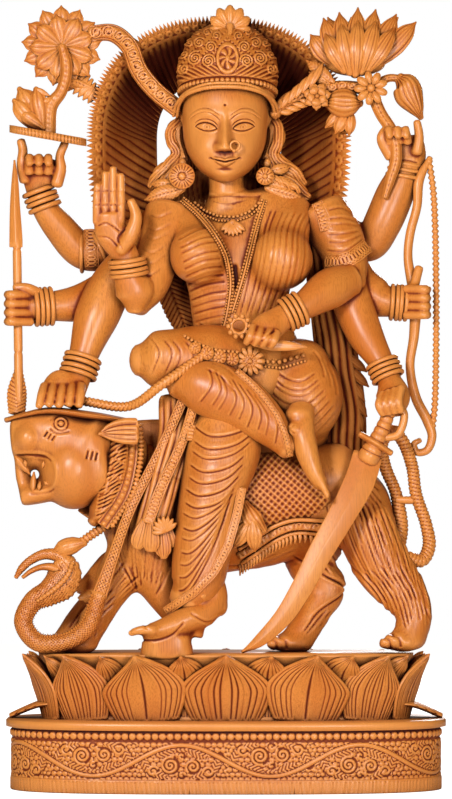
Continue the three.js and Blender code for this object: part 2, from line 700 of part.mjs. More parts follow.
// Her left arms, seen on the right
function leftArms() {
  return [
    arm([
      [322, 218, 14, 20], [350, 238, 18, 20], [371, 244, 16, 17], [383, 224, 12, 19], [396, 194, 10, 19],
      [405, 172, 8, 16], [409, 156, 6, 18, 12], [406, 140, 2, 18, 9],
    ]),
    fingers(4, [406, 140, -4], [405, 126, -8, -0.2], 8),
    finger([392, 156, -4, 6.5], [383, 138, -6, 5.5], [388, 127, -6, 4]),
    arm([[322, 212, -2, 26, 24], [340, 240, -6, 25, 24], [350, 270, -12, 19, 22], [352, 286, -18, 13, 16]]),
    arm([
      [352, 281, -18, 17, 18], [330, 289, -32, 20, 18], [304, 306, -44, 14, 13], [301, 308, -46, 18, 15],
      [287, 315, -48, 18, 15], [283, 318, -50, 13, 10], [268, 328, -56, 15, 10], [258, 334, -58, 13, 9],
    ]),
    fingers(4, [264, 333, -60, -0.6], [252, 346, -62, -0.6], 7),
    arm([
      [340, 250, 2, 20], [360, 284, 4, 20], [376, 297, 2, 20], [390, 302, 0, 15], [393, 302, 0, 19],
      [407, 303, 0, 19], [409, 303, -2, 13], [418, 302, -4, 14, 12],
    ]),
    grip([418, 302, -9], -11, 8.5),
    finger([414, 290, -10, 5], [420, 268, -8, 4.5]),
    arm([
      [340, 250, -2, 20], [352, 298, -8, 20], [366, 334, -14, 18], [381, 360, -20, 13], [383, 363, -20, 17],
      [389, 377, -22, 17], [390, 380, -24, 12], [394, 396, -30, 17, 13], [391, 410, -34, 14, 11],
    ]),
    fingers(4, [394, 400, -42], [386, 417, -44, -0.5], 8),
  ];
}

// What the hands hold

function weapons() {
  const discRadius = 37;
  const discTilt = 0.18;
  const disc = reshape(new THREE.CylinderGeometry(1, 1, 1, 20, 1), (spot) => {
    const tooth = Math.round((Math.atan2(spot.z, spot.x) / Math.PI) * 10) % 2 ? 1 : 1.06;
    const [across, depth] = [spot.x * discRadius * tooth, -spot.z * discRadius * tooth * step];
    return at([49 + across, 135.5 + across * discTilt - spot.y * 6, depth]);
  });
  const arrow = [
    limb([[20, 404, -16, 4.4], [18, 240, -12, 4.4]], { sides: 5, tip: 0 }),
    limb([[18, 250, -12, 4], [17, 232, -12, 7, 4], [16, 178, -10, 5, 3], [16, 164, -10, 1]], { sides: 4 }),
    limb([[20, 366, -14, 4], [18, 392, -15, 10, 4], [18, 412, -18, 9, 5]], { sides: 6 }),
  ];
  const bow = [
    limb(
      [
        [431, 158, 0, 3], [420, 180, 0, 5], [418, 206, 0, 4.5], [411, 234, 0, 4.5], [409, 258, 0, 4.5],
        [416, 300, -2, 6], [415, 335, 0, 5], [411, 366, 0, 4.5], [417, 398, 0, 5], [428, 420, 0, 7],
        [428, 444, 0, 7], [416, 452, 0, 5],
      ],
      { sides: 5 },
    ),
    limb([[430, 160, 0, 4], [435, 200, 0, 4], [436, 400, 0, 4], [433, 430, 0, 4]], { sides: 4 }),
  ];
  const blade = limb(
    [
      [369, 454, -34, 14.5, 3.4],
      [361, 480, -40, 15, 3.4],
      [344, 513, -46, 13.5, 3.4],
      [322, 551, -50, 12, 3.4],
      [303, 587, -52, 10.5, 3.2],
      [284, 617, -52, 9, 3],
      [260, 641, -50, 6, 3],
      [243, 652, -48, 1.5, 2],
    ],
    { sides: 4, tip: 0 },
  );
  const hilt = [
    limb([[394, 404, -38, 6], [380, 436, -38, 8], [369, 458, -36, 11]], { sides: 5 }),
    limb([[361, 434, -38, 3, 6], [376, 443, -38, 4, 13], [392, 453, -38, 3, 6]], { sides: 5 }),
    limb([[386, 438, -38, 4], [399, 434, -38, 4], [405, 414, -38, 4], [398, 404, -38, 4]], { sides: 4 }),
  ];
  const dagger = [leaf([262, 340, -62], [310, 346, -56], 8, { widest: 0.3 }), egg([250, 330, -54], [10, 9, 11], [8, 5])];
  return [solid(disc), arrow, bow, blade, hilt, dagger];
}

// Flowers

function flowers() {
  const openLotus = [
    star([63, 46, 2], 41, 28, 12, { thick: 8, dish: 3, turn: 8 }),
    star([63, 48, -4], 28, 19, 9, { thick: 8, dish: -2, turn: 30 }),
  ];
  const stems = [
    [[64, 50, -8, 7], [67, 72, -6, 6], [62, 92, -4, 6], [51, 106, -3, 7], [51, 132, -2, 7]],
    [[62, 80, -4, 5], [80, 84, 6, 6], [98, 92, 8, 5]],
    [[92, 33, 0, 7, 5], [114, 33, -2, 8, 5], [130, 46, -6, 8, 5], [140, 70, -10, 8, 5], [156, 90, -12, 8, 5], [182, 106, -6, 8, 5]],
    [[274, 112, -6, 5], [294, 98, -6, 9], [318, 92, -4, 9], [346, 86, -2, 6], [372, 90, -4, 8]],
    [[372, 92, -2, 6], [381, 112, -4, 7], [394, 136, -8, 6], [396, 162, -8, 6], [388, 194, -8, 4]],
    [[372, 88, 0, 5], [392, 80, 0, 5], [406, 86, 0, 5]],
  ].map((joints) => limb(joints, { sides: 4 }));
  const sideBud = [
    leaf([46, 130, -3], [20, 88, -3], 11),
    leaf([42, 130, -6], [36, 86, -6], 10),
    leaf([40, 132, -3], [13, 106, -3], 9),
  ];
  const tips = [[313, 34], [325, 17], [340, 11], [359, 6], [377, 8], [397, 13], [417, 21]];
  const cup = tips.map(([across, down], i) => {
    const side = i - 3;
    return leaf([356 + side * 7, 74 - Math.abs(side) * 3, 0], [across, down, 6 - Math.abs(side)], 12, {
      thick: 5,
      belly: 12 - Math.abs(side) * 2,
      widest: 0.45,
    });
  });
  const backCup = [328, 352, 376, 400].map((across) =>
    leaf([357, 72, 8], [across, 16, 22], 13, { thick: 5, belly: -3, widest: 0.45 }),
  );
  const cupBase = egg([356, 62, 4], [34, 16, 16]);
  const others = [
    leaf([330, 84, -4], [309, 58, -2], 8),
    star([318, 94, -8], 14, 8, 6, { thick: 8, dish: 0 }),
    star([372, 88, -8], 15, 9, 8, { thick: 10, dish: 0, turn: 22 }),
    limb([[366, 102, -2, 5], [346, 103, -2, 15, 13], [328, 101, -2, 6]], { steps: 2 }),
    limb([[398, 80, 0, 7], [408, 92, 0, 15, 13], [422, 116, 0, 4]], { steps: 2 }),
    leaf([348, 110, 0], [340, 138, 0], 11),
  ];
  return [openLotus, stems, sideBud, cup, backCup, cupBase, others];
}

// The whole carving is one piece of wood
const faceCount = 9900;
const carving = join([
  plinth(),
  lotus(),
  endLeaves(),
  lion(),
  snake(),
  legs(),
  skirt(),
  trunk(),
  drape(),
  head(),
  halo(),
  rightArms(),
  leftArms(),
  weapons(),
  flowers(),
]);

// Small pockets that the crossing forms seal inside are solid wood
const block = carving.decompose().reduce((most, body) => (body.volume() > most.volume() ? body : most));

const carvedWood = new THREE.MeshStandardMaterial({ color: "#c8803f", roughness: 0.45, metalness: 0 });
const group = new THREE.Group();
const statue = new THREE.Mesh(thin(block, faceCount), carvedWood);
statue.name = "durga_carving";
group.add(statue);

export default group;
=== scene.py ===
from types import SimpleNamespace

import bpy
import numpy as np
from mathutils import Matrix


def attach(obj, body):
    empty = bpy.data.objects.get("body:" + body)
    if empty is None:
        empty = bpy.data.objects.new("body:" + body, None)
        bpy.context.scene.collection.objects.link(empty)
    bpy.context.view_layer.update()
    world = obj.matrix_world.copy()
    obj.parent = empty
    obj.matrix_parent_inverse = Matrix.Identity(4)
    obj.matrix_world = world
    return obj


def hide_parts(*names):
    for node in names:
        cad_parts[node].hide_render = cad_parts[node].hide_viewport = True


# A carved wooden Durga with eight arms, on her lion. Shapes are worked out in millimetres and put into the
# meshes in metres. The carver's grid lies over the front view, as it does over the solid: across, down and
# depth in mm.

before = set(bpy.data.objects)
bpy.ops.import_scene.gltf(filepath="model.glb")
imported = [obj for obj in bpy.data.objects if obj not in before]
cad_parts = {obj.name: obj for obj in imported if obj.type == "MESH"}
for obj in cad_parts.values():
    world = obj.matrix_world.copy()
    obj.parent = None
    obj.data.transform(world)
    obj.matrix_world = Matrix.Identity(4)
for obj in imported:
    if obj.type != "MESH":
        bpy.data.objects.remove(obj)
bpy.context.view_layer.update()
print("frame loaded")

carver = {
    "middle": 227, "ground": 652, "crown": 7,  # steps of the grid
    "figureHeight": 500, "lotusTop": 104.5,  # mm
    "eyeAway": 2400, "eyeUp": 95,  # mm, the eye that the grid spreads from
}
step = carver["figureHeight"] / (carver["ground"] - carver["crown"])
front = np.array([0.0, -1.0, 0.0])


# Grid to millimetres: steps times the step, spread about the eye's height by 1 + depth / eye distance.
def place(steps):
    across, down, depth = np.moveaxis(np.asarray(steps, float)[..., :3], -1, 0)
    spread = 1 + depth / carver["eyeAway"]
    height = (carver["ground"] - down) * step - carver["eyeUp"]
    level = carver["lotusTop"] + carver["eyeUp"]
    return np.stack([(across - carver["middle"]) * step * spread, depth, level + height * spread], -1)


# The way back: where the eye sees a spot on the grid, across and down.
def seen(spots):
    spread = 1 + spots[..., 1] / carver["eyeAway"]
    level = carver["lotusTop"] + carver["eyeUp"]
    across = carver["middle"] + spots[..., 0] / (step * spread)
    down = carver["ground"] - ((spots[..., 2] - level) / spread + carver["eyeUp"]) / step
    return across, down


def unit(vectors):
    return vectors / np.maximum(np.linalg.norm(vectors, axis=-1, keepdims=True), 1e-9)


# Even angles round a circle
def fullTurn(count):
    return np.linspace(0, 2 * np.pi, count, endpoint=False)


# A closed shell from a grid of points, loops one after another. Each end closes with a fan to the loop's
# middle, or the last loop joins the first. The signed volume tells which way round the faces point outwards.
def shell(loops, ring=False, poles=None):
    count, sides = loops.shape[:2]
    spots = loops.reshape(-1, 3)
    index = np.arange(count * sides).reshape(count, sides)
    if ring:
        index = np.vstack([index, index[:1]])
    nextOver = np.roll(index, -1, axis=1)
    quads = np.stack([index[:-1], nextOver[:-1], nextOver[1:], index[1:]], -1).reshape(-1, 4)
    fans = np.zeros((0, 3), int)
    if not ring:
        ends = np.array([loops[0].mean(0), loops[-1].mean(0)]) if poles is None else np.array(poles)
        low, high = len(spots), len(spots) + 1
        spots = np.vstack([spots, ends])
        fans = np.vstack([
            np.stack([np.full(sides, low), nextOver[0], index[0]], -1),
            np.stack([np.full(sides, high), index[-1], nextOver[-1]], -1),
        ])
    triangles = np.vstack([quads[:, [0, 1, 2]], quads[:, [0, 2, 3]], fans])
    a, b, c = (spots[triangles[:, k]] for k in range(3))
    if np.einsum("ij,ij->", a, np.cross(b, c)) < 0:
        quads, fans = quads[:, ::-1], fans[:, ::-1]
    return spots, quads, fans


# A smooth path through joints [across, down, depth, half width, half depth], all five run through one
# centripetal Catmull-Rom curve, then shared out evenly by length.
def run(joints, fine, asSteps=True):
    rows = np.array([list(joint) + [joint[3]] * (5 - len(joint)) for joint in joints], float)
    knots = np.column_stack([place(rows), rows[:, 3:] * step]) if asSteps else rows
    knots = np.vstack([2 * knots[0] - knots[1], knots, 2 * knots[-1] - knots[-2]])
    knots[[0, -1], 3:] = knots[[1, -2], 3:]
    gap = np.sqrt(np.linalg.norm(np.diff(knots[:, :3], axis=0), axis=1))[:, None] + 1e-6
    a, b, c, d = knots[:-3], knots[1:-2], knots[2:-1], knots[3:]
    first, middle, last = gap[:-2], gap[1:-1], gap[2:]
    slopeB = ((b - a) / first - (c - a) / (first + middle) + (c - b) / middle) * middle
    slopeC = ((c - b) / middle - (d - b) / (middle + last) + (d - c) / last) * middle
    t = np.linspace(0, 1, 24, endpoint=False)[:, None, None]
    curve = b + slopeB * t + (
        3 * (c - b) - 2 * slopeB - slopeC
    ) * t**2 + (2 * (b - c) + slopeB + slopeC) * t**3
    curve = np.vstack([curve.transpose(1, 0, 2).reshape(-1, 5), knots[-2]])
    length = np.concatenate([[0], np.cumsum(np.linalg.norm(np.diff(curve[:, :3], axis=0), axis=1))])
    rings = max(6, int(round(length[-1] / fine))) + 1
    even = np.linspace(0, length[-1], rings)
    curve = np.stack([np.interp(even, length, column) for column in curve.T], -1)
    curve[:, 3:] = np.maximum(curve[:, 3:], 0.3)
    return curve, even


# Rings carried along a path. A ring is centre + across * width * x + towards * depth * y, with (x, y) on the
# unit circle raised to 2 / edge, so edge 2 is round, 1 a diamond and 4 a soft square. Round ends follow a
# quarter circle out to tip times the smaller half size. relief gives mm to push each point along its normal.
def loft(curve, even, sides, tip=0.6, edge=2.0, facing=front, relief=None, ring=False):
    centre, wide, deep = curve[:, :3], curve[:, 3], curve[:, 4]
    if ring:
        along = unit(np.roll(centre, -1, 0) - np.roll(centre, 1, 0))
    else:
        along = unit(np.gradient(centre, axis=0))
    scale = np.ones(len(centre))
    if not ring:
        bend = np.radians([84, 66, 46, 24]) if tip > 0 else np.radians([30.0])
        reach = tip * np.minimum(wide, deep)
        close, far = np.cos(bend), np.sin(bend)
        startAt = centre[0] - along[0] * reach[0] * far[:, None]
        endAt = centre[-1] + along[-1] * reach[-1] * far[::-1, None]
        poles = [centre[0] - along[0] * reach[0], centre[-1] + along[-1] * reach[-1]]
        caps = len(bend)
        centre = np.vstack([startAt, centre, endAt])
        along = np.vstack([np.repeat(along[:1], caps, 0), along, np.repeat(along[-1:], caps, 0)])
        scale = np.concatenate([close, scale, close[::-1]])
        wide = np.concatenate([np.full(caps, wide[0]), wide, np.full(caps, wide[-1])])
        deep = np.concatenate([np.full(caps, deep[0]), deep, np.full(caps, deep[-1])])
        even = np.concatenate([even[0] - reach[0] * far, even, even[-1] + reach[-1] * far[::-1]])
    across = unit(np.cross(along, np.asarray(facing, float)))
    towards = unit(np.cross(across, along))
    turn = fullTurn(sides)
    x = np.sign(np.cos(turn)) * np.abs(np.cos(turn)) ** (2 / edge)
    y = np.sign(np.sin(turn)) * np.abs(np.sin(turn)) ** (2 / edge)
    spots = (
        centre[:, None]
        + across[:, None] * (wide * scale)[:, None, None] * x[None, :, None]
        + towards[:, None] * (deep * scale)[:, None, None] * y[None, :, None]
    )
    if relief is not None:
        s = describe(spots, centre, ring)
        s.turn, s.x, s.y = turn[None, :], x[None, :], y[None, :]
        s.run, s.share = even[:, None], (even / max(even[-1], 1e-6))[:, None]
        s.wide, s.deep, s.scale = wide[:, None], deep[:, None], scale[:, None]
        spots = spots + s.out * (relief(s) * s.scale)[..., None]
    return shell(spots, ring=True) if ring else shell(spots, poles=poles)


# What a relief may read: the spots, their outward normals, and where the eye sees them on the grid
def describe(spots, centre, ring=False):
    if ring:
        down = np.roll(spots, -1, 0) - np.roll(spots, 1, 0)
    else:
        down = np.gradient(spots, axis=0)
    over = np.roll(spots, -1, 1) - np.roll(spots, 1, 1)
    out = unit(np.cross(down, over))
    outward = np.einsum("ijk,ijk->", out, spots - centre[:, None])
    across, downSeen = seen(spots)
    return SimpleNamespace(spot=spots, out=out if outward > 0 else -out, across=across, down=downSeen)


# A limb: a loft along joints, with as many sides as its girth asks for
def limb(joints, fine=0.9, relief=None, asSteps=True, **finish):
    curve, even = run(joints, fine, asSteps)
    girth = 2 * np.pi * np.sqrt((curve[:, 3] ** 2 + curve[:, 4] ** 2) / 2).max()
    sides = int(np.clip(girth / fine, 8, 260))
    return loft(curve, even, sides + sides % 2, relief=relief, **finish)


# An egg at [across, down, depth] with half sizes across, deep and high in steps: circles stacked by latitude
def egg(middle, sizes, fine=1.3, relief=None):
    wide, deep, high = np.array(sizes, float) * step
    centre = place(middle)
    rings = int(np.clip(np.pi * max(high, deep) / fine, 8, 160))
    sides = int(np.clip(2 * np.pi * max(wide, deep) / fine, 10, 260))
    lift = np.pi * (np.arange(rings) + 0.5) / rings - np.pi / 2
    turn = fullTurn(sides)
    spots = centre + np.stack([
        np.cos(lift)[:, None] * np.cos(turn) * wide,
        np.cos(lift)[:, None] * np.sin(turn) * deep,
        np.repeat(np.sin(lift)[:, None], sides, 1) * high,
    ], -1)
    if relief is not None:
        s = describe(spots, np.repeat(centre[None], rings, 0))
        spots = spots + s.out * relief(s)[..., None]
    return shell(spots)


def mix(start, end, share):
    return start + (end - start) * share


def smooth(value, low, high):
    t = np.clip((value - low) / (high - low), 0, 1)
    return t * t * (3 - 2 * t)


# A swell round 0: exp(-(value / width)^2)
def swell(value, width):
    return np.exp(-((value / width) ** 2))


# 1 - share^2, and 0 beyond 1
def dome(share):
    return np.clip(1 - share**2, 0, 1)


def rounded(away, half):
    return np.sqrt(dome(away / half))


# A thin groove at every pitch of a field: -depth * exp(-(distance to the groove / width)^2)
def groove(field, pitch, depth, width):
    away = (field / pitch - np.round(field / pitch)) * pitch
    return -depth * swell(away, width)


# Reliefs of a limb: grooves along it, and waves along its run
def ribs(pitch, depth, width):
    return lambda s: groove(s.x, pitch, depth, width)


def ripples(height, pace):
    return lambda s: height * np.sin(s.run * pace)


# A number from 0 to 1 for each whole number, always the same
def uneven(index):
    return np.mod(np.abs(np.sin(index * 12.9898) * 43758.5453), 1)


# Lines drawn over the front view. A drawn line runs smoothly (Catmull-Rom) through its corners [across,
# down].
def drawn(line, count=32):
    corners = np.array(line, float)
    knots = np.vstack([2 * corners[0] - corners[1], corners, 2 * corners[-1] - corners[-2]])
    t = np.linspace(0, len(corners) - 1, count)
    i = np.minimum(t.astype(int), len(corners) - 2)
    f = (t - i)[:, None]
    a, b, c, d = (knots[i + k] for k in range(4))
    return b + 0.5 * f * (c - a + f * (2 * a - 5 * b + 4 * c - d + f * (3 * (b - c) + d - a)))


# count lines from a first guide to a last one, not quite evenly spaced, their ends cut back by up to ragged
def between(first, last, count, stray=0.3, ragged=0.0):
    start, end = drawn(first), drawn(last)
    index = np.arange(count)
    share = (index + stray * (uneven(index) - 0.5) * (index > 0) * (index < count - 1)) / max(count - 1, 1)
    lines = []
    for k, s in enumerate(share):
        at = np.linspace(ragged * uneven(k + 2), 1 - ragged * uneven(k + 9), len(start)) * (len(start) - 1)
        columns = mix(start, end, s).T
        lines.append(np.stack([np.interp(at, np.arange(len(start)), column) for column in columns], -1))
    return lines


# Cuts along drawn lines: -depth * exp(-(distance / width)^2), with a lip beside the cut, fading at the line's
# ends. lap makes the cut softer on one side, and front keeps it off the faces that look to the back.
def incised(lines, depth=0.8, width=0.95, lip=0.4, fade=0.08, lap=0.0, front=False):
    lines = [drawn(line) if len(line) < 20 else line for line in lines]

    def cut(s):
        across, down = np.ravel(s.across), np.ravel(s.down)
        push = np.zeros(len(across))
        for i, line in enumerate(lines):
            start, side = line[:-1], line[1:] - line[:-1]
            low, high = line.min(0) - 7, line.max(0) + 7
            near = np.flatnonzero((across > low[0]) & (across < high[0]) & (down > low[1]) & (down < high[1]))
            if not len(near):
                continue
            spot = np.stack([across[near], down[near]], -1)[:, None]
            share = np.clip(((spot - start) * side).sum(-1) / (side**2).sum(-1), 0, 1)
            away = np.linalg.norm(spot - start - side * share[..., None], axis=-1)
            best = away.argmin(1)
            rows = np.arange(len(near))
            off, share = away[rows, best] * step, (best + share[rows, best]) / len(start)
            over, below = (spot[:, 0] - start[best]).T
            turned = side[best, 0] * below - side[best, 1] * over
            half = np.where(turned > 0, width * (1 + lap), width)
            keep = smooth(share, 0, fade + 0.001) * (1 - smooth(share, 0.999 - fade, 1))
            lipOver = lip * swell(off - 2.1 * width, 0.9 * width)
            push[near] += depth * keep * (0.65 + 0.35 * uneven(i * 7 + 1)) * (lipOver - swell(off, half))
        push = push.reshape(np.shape(s.across))
        return push * smooth(-s.out[..., 1], -0.2, 0.25) if front else push

    return cut


# 1 inside an outline drawn over the front view and 0 outside, softly over its edge
def within(outline, s, soft=1.0):
    corners = np.array(outline, float)
    spot = np.stack([np.ravel(s.across), np.ravel(s.down)], -1)[:, None]
    side = np.roll(corners, -1, 0) - corners
    share = np.clip(((spot - corners) * side).sum(-1) / (side**2).sum(-1), 0, 1)
    away = np.linalg.norm(spot - corners - side * share[..., None], axis=-1).min(1) * step
    after = corners + side
    straddles = (corners[:, 1] > spot[..., 1]) != (after[:, 1] > spot[..., 1])
    rise = np.where(np.abs(side[:, 1]) < 1e-9, 1e-9, side[:, 1])
    left = spot[..., 0] < corners[:, 0] + side[:, 0] * (spot[..., 1] - corners[:, 1]) / rise
    inside = (straddles & left).sum(1) % 2 == 1
    return smooth(np.where(inside, away, -away), -soft, soft).reshape(np.shape(s.across))


# Woven lozenges: two crossed sets of grooves, drawn over the front view
def lozenges(s, pitch=3.6, depth=0.6, lean=45.0, width=0.75):
    c, t = np.cos(np.radians(lean)), np.sin(np.radians(lean))
    one, other = (s.across * c + s.down * t) * step, (s.down * c - s.across * t) * step
    return groove(one, pitch, depth, width) + groove(other, pitch, depth, width)


# Several reliefs added up
def layered(*reliefs):
    return lambda s: sum(relief(s) for relief in reliefs)


# A pointed leaf from root to tip, flat, with a rib down its middle and side veins. blunt is the half width
# near the tip, and barbs turns the veins into slanting feathers.
def leaf(
    root, tip, width, thick=3.0, belly=3.0, widest=0.45, veins=3, fine=1.0, edge=1.6, depth=0.6, blunt=1.0,
    barbs=0.0,
):
    def joint(share, half, push):
        across, down, back = (mix(r, t, share) for r, t in zip(root, tip))
        return [across, down, back - push, half, min(thick, half)]

    def vein(s):
        lines = groove(s.x * veins * 0.5, 1, depth, 0.17) if veins else 0
        if barbs:
            slant = s.run - np.abs(s.x) * s.wide * 0.9
            lines = groove(slant, barbs, depth, 0.55) + groove(s.x, 9, depth, 0.1)
        return lines * smooth(s.share, 0.02, 0.15) * (1 - smooth(s.share, 0.86, 1)) * (s.wide > 1.6)

    joints = [
        joint(0, width * 0.45, 0), joint(widest * 0.5, width * 0.82, belly * 0.7),
        joint(widest, width, belly),
    ]
    joints += [
        joint(mix(widest, 1, 0.55), mix(blunt, width, 0.72), belly * 0.7), joint(0.97, blunt, belly * 0.3),
    ]
    return limb(joints, fine, vein, edge=edge, tip=1.0)


# A row of beads: one small ball of 8 by 5 repeated at each spot
def beads(spots, radius):
    lift = np.pi * (np.arange(4) + 0.5) / 4 - np.pi / 2
    turn = fullTurn(8)
    ball = np.stack([
        np.cos(lift)[:, None] * np.cos(turn), np.cos(lift)[:, None] * np.sin(turn),
        np.repeat(np.sin(lift)[:, None], 8, 1)
    ], -1)
    points, quads, fans = shell(ball)
    spots = np.asarray(spots, float).reshape(-1, 3)
    radii = np.broadcast_to(np.asarray(radius, float), (len(spots),))
    every = (spots[:, None] + points[None] * radii[:, None, None]).reshape(-1, 3)
    offset = (np.arange(len(spots)) * len(points))[:, None, None]
    return every, (quads[None] + offset).reshape(-1, 4), (fans[None] + offset).reshape(-1, 3)


def join(shells):
    flat = []

    def gather(item):
        if isinstance(item, tuple) and len(item) == 3 and isinstance(item[0], np.ndarray):
            flat.append(item)
        else:
            for part in item:
                gather(part)

    gather(shells)
    start = 0
    spots, quads, fans = [], [], []
    for points, four, three in flat:
        spots.append(points)
        quads.append(four + start)
        fans.append(three + start)
        start += len(points)
    return np.vstack(spots), np.vstack(quads), np.vstack(fans)


# One value of each item of a mesh's list, as rows
def read(items, name, width, kind=np.float64):
    flat = np.empty(len(items) * width, kind)
    items.foreach_get(name, flat)
    return flat.reshape(-1, width)


# The points of shells, of a finished piece, or of a list of pieces
def pointsOf(under):
    if isinstance(under, bpy.types.Object):
        return read(under.data.vertices, "co", 3) * 1000
    if isinstance(under, list) and isinstance(under[0], bpy.types.Object):
        return np.vstack([pointsOf(item) for item in under])
    return join(under)[0]


# Where a front-view line lies on something: for each sample, the foremost point close to it
def layOn(line, under, lift=0.0, near=2.2):
    points = pointsOf(under)
    across, down = seen(points)
    line = np.asarray(line, float)
    depth = np.empty(len(line))
    for i, (lineAcross, lineDown) in enumerate(line[:, :2]):
        close = np.hypot(across - lineAcross, down - lineDown) < near / step
        depth[i] = points[close, 1].min() if close.any() else np.nan
    known = ~np.isnan(depth)
    depth = np.interp(np.arange(len(line)), np.flatnonzero(known), depth[known]) if known.any() else depth * 0
    for _ in range(6):
        depth[1:-1] = np.minimum(depth[1:-1], (depth[:-2] + depth[2:]) / 2)
    return np.column_stack([line[:, :2], depth - lift])


# Samples along a front-view line, evenly, through its corners
def dense(line, gap=6.0):
    line = np.asarray(line, float)
    length = np.concatenate([[0], np.cumsum(np.linalg.norm(np.diff(line, axis=0), axis=1))])
    even = np.linspace(0, length[-1], max(3, int(length[-1] / gap) + 1))
    return np.stack([np.interp(even, length, column) for column in line.T], -1)


# A raised band that lies on shells along a front-view line
def band(line, under, width, thick=1.6, lift=0.2, relief=None, fine=1.0, edge=2.6, gap=6.0):
    spots = layOn(dense(line, gap), under, lift)
    joints = [[*spot, width, thick / step] for spot in spots]
    return limb(joints, fine, relief, edge=edge, tip=0.5)


def beadLine(line, under, radius, pitch, lift=0.0):
    spots = layOn(dense(line, 3.0), under, lift)
    curve, even = run([[*spot, 1] for spot in spots], 0.4)
    count = max(2, int(even[-1] / pitch))
    at = np.linspace(0, even[-1], count)
    return beads(np.stack([np.interp(at, even, curve[:, k]) for k in range(3)], -1), radius)


# Three strands plaited: two crossed sets of slanting grooves
def plait(pitch, depth):
    def carve(s):
        one = groove(s.run + s.x * 2.2, pitch, depth, 0.55) * (s.x > 0)
        return one + groove(s.run - s.x * 2.2 + pitch / 2, pitch, depth, 0.55) * (s.x <= 0)

    return carve


# A flower seen from the front: petals are flat leaves round a boss, in rows that shrink towards the middle
def flower(middle, reach, count, rows, thick, dish=2.0, turn=0.0, boss=0.2, widest=0.6, blunt=1.0, full=1.0):
    across, down, depth = middle
    shells = []
    for row in range(rows):
        size = reach * (1 - 0.26 * row)
        petals = count if row == 0 else max(5, int(count * 0.75))
        width = size * np.pi / petals * 0.72 * full
        for k in range(petals):
            angle = 2 * np.pi * (k + 0.5 * row) / petals + np.radians(turn)
            lift = depth - row * dish - 0.5 * (k % 2)
            root = [across + np.cos(angle) * size * 0.1, down - np.sin(angle) * size * 0.1, lift]
            tip = [across + np.cos(angle) * size, down - np.sin(angle) * size, lift - dish * 0.4]
            shells.append(leaf(root, tip, width, thick / step * 0.55, dish, widest, 3, 0.9, blunt=blunt))
    if boss:
        shells.append(
            egg([across, down, depth - rows * dish - 0.5], [reach * boss, 3.0 / step, reach * boss], 0.8)
        )
    return shells


# A round boss seen from the front: radial grooves round a button, like a daisy turned on a lathe
def rosette(middle, radius, rays=18, thick=3.0):
    across, down, _ = middle

    def daisy(s):
        x, y = s.across - across, s.down - down
        away = np.hypot(x, y) / radius
        turn = np.arctan2(y, x)
        spokes = groove(
            turn * rays / (2 * np.pi), 1, 0.9, 0.2,
        ) * smooth(away, 0.28, 0.4) * (1 - smooth(away, 0.9, 1.0))
        button = 1.0 * np.sqrt(dome(away / 0.27)) - 0.7 * swell(away - 0.3, 0.06)
        return spokes + button

    return egg(middle, [radius, thick / step, radius], 0.7, daisy)


# Scroll work along a flat band: spirals one after another, turned up and down, between two edge lines
def scrolls(pitch=9.0, radius=4.4, depth=0.9):
    def carve(s):
        y = s.x * s.wide
        index = np.floor(s.run / pitch)
        x = s.run - (index + 0.5) * pitch
        up = np.where(np.mod(index, 2) > 0, 1.0, -1.0)
        away = spiral(x, y * up, radius, 2.1, 2.4)
        link = np.abs(y * up + 0.72 * radius * np.cos(s.run * np.pi / pitch))
        rise = np.maximum(rounded(away, 0.8), 0.9 * rounded(link, 0.8))
        return depth * (rise - 0.5) * (s.y > -0.2)

    return carve


# Puts a new object into the scene
def put(name, data):
    item = bpy.data.objects.new(name, data)
    bpy.context.collection.objects.link(item)
    return item


